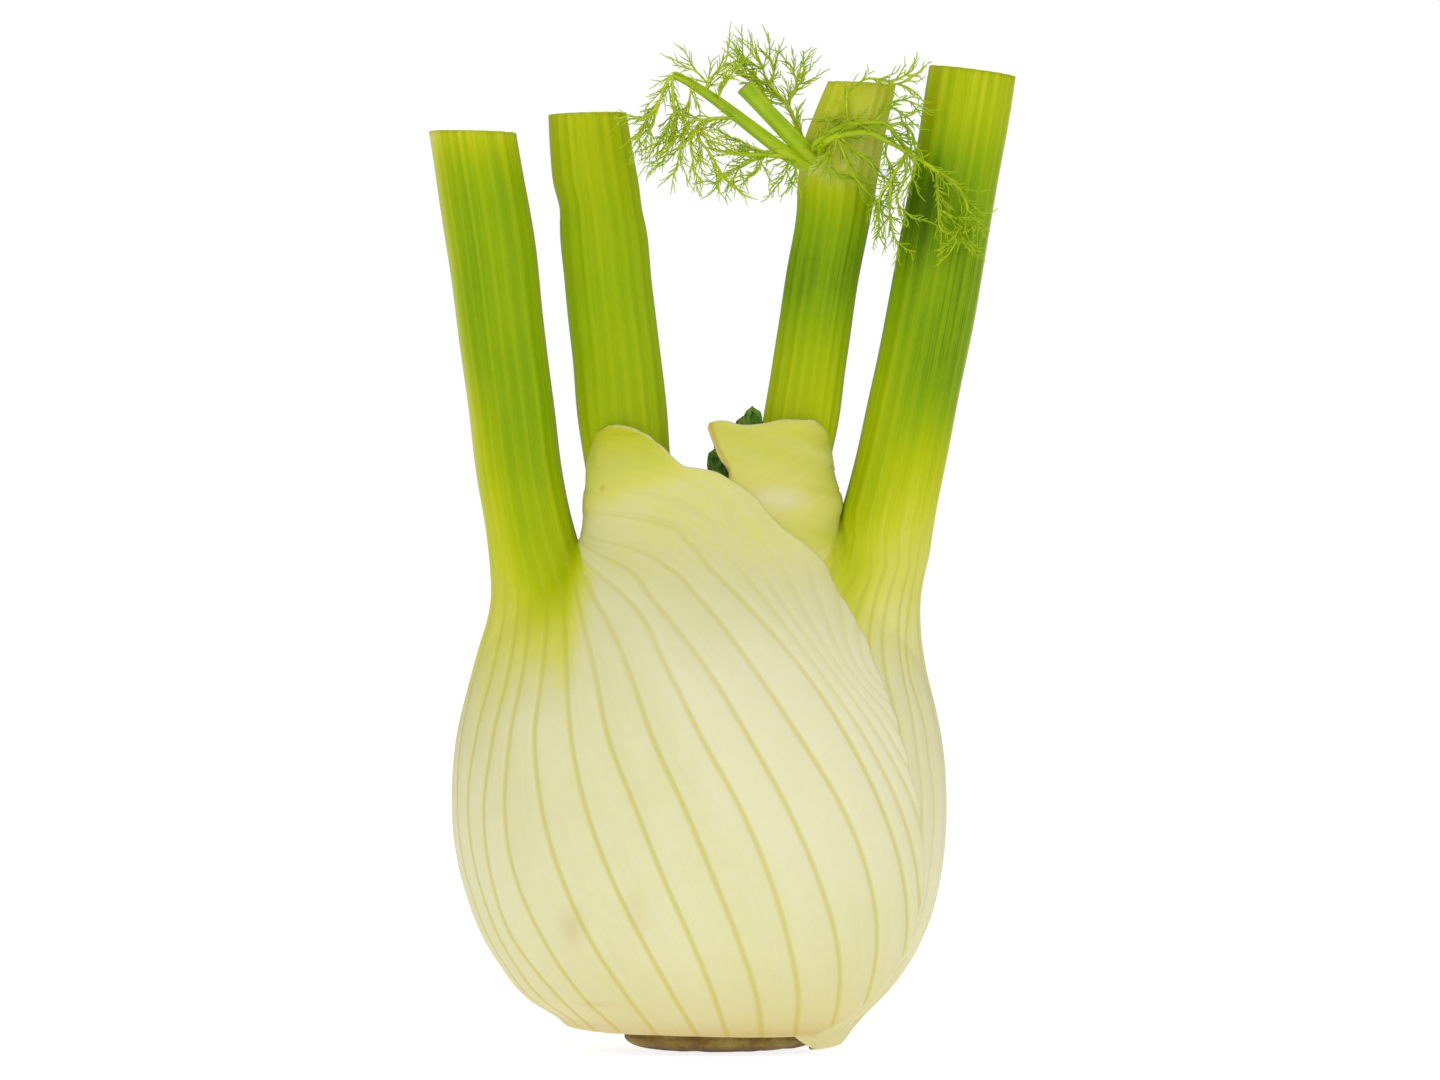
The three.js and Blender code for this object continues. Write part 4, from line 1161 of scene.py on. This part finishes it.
def makeSideStem(name, node, shape, cutMade):
    path = smoothPath(shape["path"], 90)
    ahead = np.gradient(path, axis=0)
    ahead /= np.linalg.norm(ahead, axis=1, keepdims=True)
    side = np.cross(ahead, [0.0, 1.0, 0.0])
    side /= np.linalg.norm(side, axis=1, keepdims=True)
    over = np.cross(ahead, side)
    radius = smoothCurve(shape["radius"])(np.linspace(0, 1, len(path)))[:, None, None]
    turn = np.linspace(0, 2 * np.pi, 49)[None, :, None]
    ridge = 1 + 0.05 * np.cos(7 * turn)
    points = path[:, None] + (side[:, None] * np.cos(turn) + over[:, None] * np.sin(turn)) * radius * ridge
    surface = Surface()
    surface.addGrid(points, leafValues(turn[..., 0] * 7 / (2 * np.pi), 1.4, 1.0))
    for end, flip, sink in ((0, True, 0), (-1, False, 0.5)):
        shrink = np.array([1, 0.93, 0.8, 0.5, 0.0])[:, None, None]
        middle = points[end][:-1].mean(0)
        inward = path[end] - path[0 if end else 1]
        inward = inward / np.linalg.norm(inward)
        dip = np.array([0, 0, -0.25, -0.4, -0.45])[:, None, None] * sink * inward
        cap = middle + (points[end] - middle)[None] * shrink + dip
        surface.addGrid(cap, leafValues(0.0, 1.4, 2.0, shrink[:, :, 0]), flip)
    surface.weld(0.005)
    rib, height = surface.values["rib"], surface.points[:, 2]
    pale = 0.2 * easeBetween(rib, 4.4, 5.4) * easeBetween(rib, 7, 6) + 0.2 * easeBetween(height, 186, 180)
    shade = 0.34 - pale + 0.05 * np.cos(2 * np.pi * rib) + 0.04 * waves(71, rib * 5, height / 9)
    surface.values["shade"] = shade
    finishPiece(name, node, surface, [softYoungLeaf, cutMade])


makeSideStem("sideStemLong", "side_stem_long", sideStems["long"], cutPith)
makeSideStem("sideStemShort", "side_stem_short", sideStems["short"], cutDried)
print("side stems ready")

# The fronds: hair-fine branching leaves. Each branch has its radius at both ends and a path of [x, y, z]
# points, and finer threads grow along it. Spacing and length are those of the threads.
fronds = {
    "frond_crown": {"seed": 1, "shade": 0.2, "spacing": 1.05, "length": 4.6, "branches": [
        [0.5, 0.41, [[18, -1.6, 183], [15.7, -2.4, 185.7], [14.6, -2, 188.6], [13.3, -1.6, 191.7]]],
        [0.34, 0.18, [[13.3, -1.6, 191.7], [13.7, -1.4, 192.8], [15.4, -1.2, 195.5], [16.8, -1, 197.9],
            [16.5, -1, 199.8]]],
        [0.24, 0.18, [[15.2, -1.2, 195.2], [14.8, -0.4, 197.4], [14.2, 0, 199.3]]],
        [0.36, 0.18, [[13.3, -1.6, 191.7], [10.5, -1.8, 194.7], [8.9, -2, 196.8], [8, -2, 199.6],
            [6.6, -2, 201.2]]],
        [0.24, 0.18, [[8.2, -2, 199], [6, -1.4, 199.8], [4.8, -1, 200.8], [4.2, -1, 202]]],
        [0.32, 0.18, [[12, -1.7, 193], [7.8, -0.6, 195.5], [5.6, 0, 198.6], [4, 0.4, 199.8]]],
        [0.24, 0.18, [[8.5, -0.8, 196], [5.7, -1.6, 196.6], [3.6, -2, 197.6]]],
        [0.24, 0.18, [[13.3, -1.6, 191.7], [10, -2.6, 192.2], [8, -3, 194]]],
        [0.24, 0.18, [[9.6, -2, 196.2], [10.6, -1, 198.4], [9.6, -0.4, 201.6]]],
    ]},
    "frond_left": {"seed": 2, "shade": 0.12, "spacing": 1.25, "length": 5.2, "branches": [
        [0.4, 0.23, [[-10.2, -12.2, 196.8], [-11.2, -12.6, 195.2], [-12.5, -13, 191.7], [-14, -13.4, 189.4],
            [-15.2, -13.6, 188.6], [-16.2, -13.6, 188.2]]],
        [0.28, 0.18, [[-14.2, -13.4, 189.2], [-15.6, -13.8, 186.8], [-16.6, -14, 184.1]]],
        [0.28, 0.18, [[-12.7, -13, 190.9], [-14, -14, 187], [-15.3, -14.4, 183.8]]],
        [0.36, 0.18, [[-10, -12.2, 196.6], [-9.8, -13, 192.2], [-9.3, -13.6, 187.9], [-10.1, -14, 183.8],
            [-11.6, -14, 179.6]]],
        [0.24, 0.18, [[-9.5, -13.4, 189.5], [-11.5, -12.6, 185.5], [-13.8, -12.4, 182]]],
        [0.4, 0.23, [[3.6, -8.2, 188.6], [1.6, -9.6, 188.4], [-3, -11.6, 187.9], [-4.9, -12.6, 186.8],
            [-4.5, -13, 183.8], [-3, -13, 181.9], [-0.6, -13, 177.9], [0.6, -13, 175.8]]],
        [0.32, 0.18, [[-3, -11.6, 187.9], [-6, -13, 187.6], [-7.6, -13.8, 185], [-8.6, -14, 181],
            [-9, -14, 177.8]]],
        [0.28, 0.18, [[-4.9, -12.6, 186.8], [-6.3, -14, 183], [-5.8, -14.6, 179.6], [-5.4, -14.6, 177.2]]],
        [0.24, 0.18, [[-6.2, -11.2, 195], [-6.6, -12.2, 191.8], [-8, -13, 188.5], [-6.9, -14, 186]]],
        [0.24, 0.18, [[-4.9, -12.8, 186.2], [-3, -13.6, 184.9], [-1.9, -13.8, 184.2]]],
        [0.28, 0.18, [[-3.4, -10.4, 193.6], [-2.6, -11.6, 196], [-0.5, -12, 198], [0.8, -12, 199.8]]],
        [0.28, 0.18, [[-0.6, -10, 191.6], [-0.2, -11.4, 195], [1.8, -12, 197], [3, -12, 198]]],
        [0.24, 0.18, [[-3, -11.2, 195.4], [-5, -12.4, 197.4], [-7.6, -12.8, 198.7]]],
    ]},
    "frond_lower": {"seed": 3, "shade": 0.2, "spacing": 1.1, "length": 4.2, "branches": [
        [0.6, 0.36, [[15.2, -5.2, 180.6], [9.1, -7, 181.1], [4, -8, 181.2], [0.8, -8.2, 181.6]]],
        [0.32, 0.18, [[9.1, -7, 181.2], [6, -7.6, 179.8], [3.4, -8, 178.7], [1.6, -8, 177.5],
            [-1.2, -8, 175.5]]],
        [0.24, 0.18, [[3.4, -8, 178.7], [2.6, -8.4, 176.8], [1.6, -8.4, 175.2]]],
        [0.28, 0.18, [[8, -7.2, 180.7], [7.6, -7.8, 178.6], [6.8, -8, 177.4], [5.1, -8, 176.3]]],
        [0.28, 0.18, [[10, -6.8, 181.2], [5.9, -7.4, 182.8], [3.2, -7.6, 184.1], [1.6, -7.6, 184.6]]],
        [0.2, 0.18, [[13.6, -5.8, 180.4], [13, -6.6, 178], [11.9, -6.8, 175.7]]],
        [0.2, 0.18, [[14.8, -5.8, 180], [15, -6.4, 177.6], [14.6, -6.6, 175.7]]],
    ]},
    "frond_right": {"seed": 4, "shade": 0.26, "spacing": 1.3, "length": 4.2, "branches": [
        [0.6, 0.36, [[18.4, -3, 181], [18.4, -6, 182.9], [22.1, -7.8, 185.8], [25.9, -8.8, 187.3],
            [30, -9.2, 187.5], [33.6, -9, 187], [35.2, -9, 184.6], [37.7, -9.2, 181.7]]],
        [0.95, 0.45, [[20.4, -3.4, 180.8], [20, -6.2, 182.8], [23.1, -8, 184.9], [26.8, -8.6, 185.5],
            [29.9, -8.8, 185.5], [32.4, -9, 184.2], [35.5, -9.4, 182.7], [37.3, -9.6, 181.4]]],
        [0.28, 0.18, [[33.6, -9, 187], [36.4, -9.2, 187.3], [38.3, -9.4, 185.5], [38.9, -9.4, 182.4]]],
        [0.28, 0.18, [[31, -9.2, 188], [33.9, -9, 190.5], [37.7, -8.6, 188.9], [39.4, -8.6, 189.9]]],
        [0.32, 0.18, [[23.1, -8, 184.4], [22.1, -7.6, 181.1], [19.4, -7.2, 179.6]]],
        [0.24, 0.18, [[22.1, -7.6, 181.1], [21.8, -7.4, 178.7], [23.7, -7.2, 176.5]]],
        [0.32, 0.18, [[23.4, -8, 184.4], [25.6, -8, 179], [27.1, -8, 176.2], [31.4, -8, 171.2],
            [32.7, -8, 169]]],
        [0.32, 0.18, [[23.8, -8.2, 184.8], [26.8, -8.4, 181.7], [29.9, -8.4, 179.6], [31.2, -8.2, 177.1]]],
        [0.28, 0.18, [[33.4, -9, 184], [33, -9.4, 181], [34.4, -9.4, 178.4]]],
    ]},
    "frond_drape": {"seed": 5, "shade": 0.24, "spacing": 1.25, "length": 4.2, "branches": [
        [0.4, 0.32, [[37.3, -9.6, 181.4], [39.5, -9.8, 180.2], [43.2, -10, 177.7], [46, -10, 175.9],
            [49.1, -9.8, 171.6], [49.5, -9.6, 169.7]]],
        [0.28, 0.2, [[43.2, -10, 177.6], [43.4, -10.2, 173.4], [43.6, -10.2, 170], [44.2, -10, 165.9],
            [47.3, -9.8, 164.7]]],
        [0.24, 0.18, [[43.6, -10.2, 170], [46.7, -10, 168.4]]],
        [0.28, 0.18, [[49.5, -9.6, 169.7], [47.9, -9.8, 165], [50.1, -9.4, 161.5]]],
        [0.24, 0.18, [[47.9, -9.8, 165], [46, -9.8, 161.5]]],
        [0.28, 0.18, [[49.5, -9.6, 169.7], [50.7, -9.4, 168.8], [51.6, -9, 166.6]]],
        [0.24, 0.18, [[49.4, -9.6, 168.8], [50.6, -9.4, 166]]],
        [0.36, 0.18, [[37.7, -9.6, 181.7], [35.6, -10, 178.6], [33.9, -10.2, 175.6], [33.9, -10.2, 172.5],
            [33.9, -10, 167.2], [35.5, -10, 162.5]]],
        [0.28, 0.18, [[33.9, -10.2, 175.6], [32, -10.4, 173.1], [31.6, -10.4, 169.2],
            [31.6, -10.2, 164.6]]],
        [0.28, 0.18, [[37.4, -9.7, 181], [36.8, -10.6, 176], [35.2, -10.8, 171.6], [38.3, -10.8, 168.2]]],
        [0.28, 0.18, [[39, -9.8, 180.4], [38.6, -10.6, 177], [37, -11, 174]]],
    ]},
    "frond_tip": {"seed": 6, "shade": 0.2, "spacing": 1.7, "length": 3.4, "branches": [
        [0.24, 0.23, [[25.6, -8.7, 187.2], [25.3, -7.4, 188.6], [25.1, -7, 191], [25.3, -7, 193.5],
            [26.8, -7.2, 194.8], [28.6, -7, 196.3], [31.8, -7.2, 196.4], [35.5, -7.6, 195.4],
            [38.5, -8, 197]]],
        [0.28, 0.18, [[31.4, -7.2, 196], [34.5, -7.4, 196], [37, -7.6, 197.2], [38.4, -7.6, 198.2]]],
        [0.2, 0.18, [[37, -7.6, 197.2], [38.4, -8.4, 197.2], [39.2, -8.6, 197.4]]],
        [0.2, 0.18, [[35.5, -7.6, 195.4], [37.2, -7.4, 194.6], [38.6, -7.2, 194]]],
        [0.16, 0.13, [[25.2, -7, 190.5], [24.3, -7, 189.2], [21.7, -6.8, 188.2], [19.3, -5.6, 188.4]]],
        [0.24, 0.18, [[33.4, -9, 190.1], [34.3, -8.4, 191.6], [37.3, -8, 192], [39.8, -8, 191]]],
    ]},
}


def threadTree(material):
    # grows two orders of fine threads along the branches and gives every line its thickness
    tree = bpy.data.node_groups.new("leafThreads", "GeometryNodeTree")
    tree.interface.new_socket("Branches", in_out="INPUT", socket_type="NodeSocketGeometry")
    usual = {"Spacing": 0.0016, "Thread Length": 0.003, "Thread Radius": 0.00017, "Shade": 0.2}
    for name, value in usual.items():
        socket = tree.interface.new_socket(name, in_out="INPUT", socket_type="NodeSocketFloat")
        socket.default_value = value
    tree.interface.new_socket("Seed", in_out="INPUT", socket_type="NodeSocketInt")
    tree.interface.new_socket("Threads", in_out="OUTPUT", socket_type="NodeSocketGeometry")
    given = addNode(tree, "NodeGroupInput").outputs
    branches = addNode(tree, "GeometryNodeMeshToCurve", {"Mesh": given["Branches"]})
    thick = addNode(tree, "GeometryNodeInputNamedAttribute", {"Name": "thick"}, data_type="FLOAT")
    darker = addNode(tree, "ShaderNodeMath", {0: given["Shade"], 1: 0.12}, operation="ADD")
    # threads get thinner towards their tips
    taper = addNode(tree, "GeometryNodeSplineParameter").outputs["Factor"]
    taper = addNode(tree, "ShaderNodeMath", {0: taper, 1: -0.5, 2: 1.0}, operation="MULTIPLY_ADD")
    fine = addNode(tree, "ShaderNodeMath", {0: given["Thread Radius"], 1: taper}, operation="MULTIPLY")
    finer = addNode(tree, "ShaderNodeMath", {0: fine, 1: 0.85}, operation="MULTIPLY")
    bent = {"Resolution": 5, "Start": (0, 0, 0), "Middle": (0.06, 0.0, 0.5), "End": (-0.04, 0.03, 1.0)}
    thread = addNode(tree, "GeometryNodeCurveQuadraticBezier", bent)
    lines = [(branches, thick, given["Shade"], 8)]
    for order, nearer, shorter, radius, sides in ((1, 1.0, 1.0, fine, 5), (2, 0.7, 0.52, finer, 4)):
        scaled = {0: given["Spacing"], 1: nearer}, {0: given["Thread Length"], 1: shorter}
        spacing, length = (addNode(tree, "ShaderNodeMath", part, operation="MULTIPLY") for part in scaled)
        carriers = {"Curve": lines[-1][0], "Length": spacing}
        along = addNode(tree, "GeometryNodeCurveToPoints", carriers, mode="LENGTH").outputs
        # three chances for each thread: its turn round the branch, its lean away from it and its length
        chances = []
        for step, (low, high) in enumerate(((0.0, 6.283), (0.35, 0.8), (0.55, 1.15))):
            own = {0: given["Seed"], 1: order * 20.0 + step}
            seed = addNode(tree, "ShaderNodeMath", own, operation="ADD")
            chance = addNode(tree, "FunctionNodeRandomValue", {2: low, 3: high, 8: seed}, data_type="FLOAT")
            chances.append(chance.outputs[1])
        rotation = addNode(tree, "FunctionNodeAlignRotationToVector", {"Vector": along["Tangent"]}, axis="Z")
        for axis, angle in (((0, 0, 1), chances[0]), ((1, 0, 0), chances[1])):
            by = addNode(tree, "FunctionNodeAxisAngleToRotation", {"Axis": axis, "Angle": angle})
            both = {"Rotation": rotation, "Rotate By": by}
            rotation = addNode(tree, "FunctionNodeRotateRotation", both, rotation_space="LOCAL")
        size = addNode(tree, "ShaderNodeMath", {0: length, 1: chances[2]}, operation="MULTIPLY")
        placed = addNode(tree, "GeometryNodeInstanceOnPoints", {
            "Points": along["Points"], "Instance": thread, "Rotation": rotation, "Scale": size})
        grown = addNode(tree, "GeometryNodeRealizeInstances", {"Geometry": placed})
        lines.append((grown, radius, darker, sides))
    joined = addNode(tree, "GeometryNodeJoinGeometry")
    for curves, radius, shade, sides in reversed(lines):
        shaded = {"Geometry": curves, "Name": "shade", "Value": shade}
        marked = addNode(tree, "GeometryNodeStoreNamedAttribute", shaded, data_type="FLOAT", domain="POINT")
        profile = {"Resolution": sides, "Radius": 1.0}
        ring = addNode(tree, "GeometryNodeCurvePrimitiveCircle", profile, mode="RADIUS")
        swept = {"Curve": marked, "Profile Curve": ring, "Scale": radius, "Fill Caps": True}
        tube = addNode(tree, "GeometryNodeCurveToMesh", swept)
        tree.links.new(tube.outputs[0], joined.inputs[0])
    smooth = addNode(tree, "GeometryNodeSetShadeSmooth", {"Geometry": joined})
    real = addNode(tree, "GeometryNodeRealizeInstances", {"Geometry": smooth})
    done = addNode(tree, "GeometryNodeSetMaterial", {"Geometry": real, "Material": material})
    addNode(tree, "NodeGroupOutput", {"Threads": done})
    return tree


def makeFrond(node, shape, tree, material):
    points, edges, thick = [], [], []
    for start, end, path in shape["branches"]:
        line = smoothPath(path, len(path) * 4)
        edges += [[len(points) + k, len(points) + k + 1] for k in range(len(line) - 1)]
        points += (line / 1000).tolist()
        thick += (np.linspace(start, end, len(line)) / 1000).tolist()
    mesh = bpy.data.meshes.new(node)
    mesh.from_pydata(points, edges, [])
    mesh.attributes.new("thick", "FLOAT", "POINT").data.foreach_set("value", thick)
    mesh.materials.append(material)
    piece = bpy.data.objects.new(node.replace("_", ""), mesh)
    bpy.context.collection.objects.link(piece)
    modifier = piece.modifiers.new("leafThreads", "NODES")
    modifier.node_group = tree
    values = {"Spacing": shape["spacing"] / 1000, "Thread Length": shape["length"] / 1000}
    values.update({"Shade": shape["shade"], "Seed": shape["seed"]})
    for item in tree.interface.items_tree:
        if item.in_out == "INPUT" and item.name in values:
            modifier[item.identifier] = values[item.name]
    evaluated = piece.evaluated_get(bpy.context.evaluated_depsgraph_get())
    grown = bpy.data.meshes.new_from_object(evaluated)
    piece.modifiers.remove(modifier)
    piece.data = grown
    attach(piece, "root")
    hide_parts(node)
    print(node, len(grown.polygons), "faces")


leafThreads = threadTree(softYoungLeaf)
for node, shape in fronds.items():
    makeFrond(node, shape, leafThreads, softYoungLeaf)

# Camera, light and floor. Distances are in millimetres, but each light has its place and size in metres,
# and its power in watts.
studio = {
    "distance": 1400, "height": 103.4, "across": -0.4, "frameWidth": 292.1,
    "fill": 0.46, "glow": 0.86,
    "paper": "#A0A0A0", "floorReach": 3000,
    "lights": [("frontSoftbox", (-0.45, -1.3, 1.05), 1.4, 9), ("sideSoftbox", (1.1, -0.9, 0.6), 0.9, 3)],
}


def paperMaterial():
    # White paper floor: quite matt, with a glow of its own that keeps it as white as the backdrop
    material, tree = newMaterial("whitePaperFloor")
    shader = addNode(tree, "ShaderNodeBsdfPrincipled", {
        "Base Color": colour(studio["paper"]), "Roughness": 1.0, "Specular IOR Level": 0.0,
        "Emission Color": (1, 1, 1, 1), "Emission Strength": studio["glow"]})
    addNode(tree, "ShaderNodeOutputMaterial", {"Surface": shader})
    return material


def makeStudio():
    camera = bpy.data.cameras.new("camera")
    camera.sensor_width = 36
    camera.lens = 36 * studio["distance"] / studio["frameWidth"]
    holder = bpy.data.objects.new("camera", camera)
    holder.location = (studio["across"] / 1000, -studio["distance"] / 1000, studio["height"] / 1000)
    holder.rotation_euler = (math.pi / 2, 0, 0)
    bpy.context.collection.objects.link(holder)
    bpy.context.scene.camera = holder
    # the backdrop is white, and its light on the bulb is softer than it looks
    world = bpy.data.worlds.new("softWhite")
    world.use_nodes = True
    tree = world.node_tree
    seen = addNode(tree, "ShaderNodeLightPath").outputs["Is Camera Ray"]
    strength = addNode(tree, "ShaderNodeMapRange", {"Value": seen, "To Min": studio["fill"], "To Max": 1.0})
    tree.nodes["Background"].inputs["Color"].default_value = (1, 1, 1, 1)
    tree.links.new(strength.outputs[0], tree.nodes["Background"].inputs["Strength"])
    bpy.context.scene.world = world
    bpy.context.scene.view_settings.view_transform = "Standard"
    for name, place, size, power in studio["lights"]:
        light = bpy.data.lights.new(name, "AREA")
        light.size = size
        light.energy = power
        lamp = bpy.data.objects.new(name, light)
        lamp.location = place
        lamp.rotation_euler = (lamp.location - Vector((0, 0, 0.1))).to_track_quat("Z", "Y").to_euler()
        bpy.context.collection.objects.link(lamp)
    reach = studio["floorReach"]
    corners = [[x, y, -0.3] for x, y in ((-reach, -reach), (reach, -reach), (reach, reach), (-reach, reach))]
    floor = meshObject("floor", corners, [[0, 1, 2, 3]], materials=[paperMaterial()])


makeStudio()
print("studio ready")
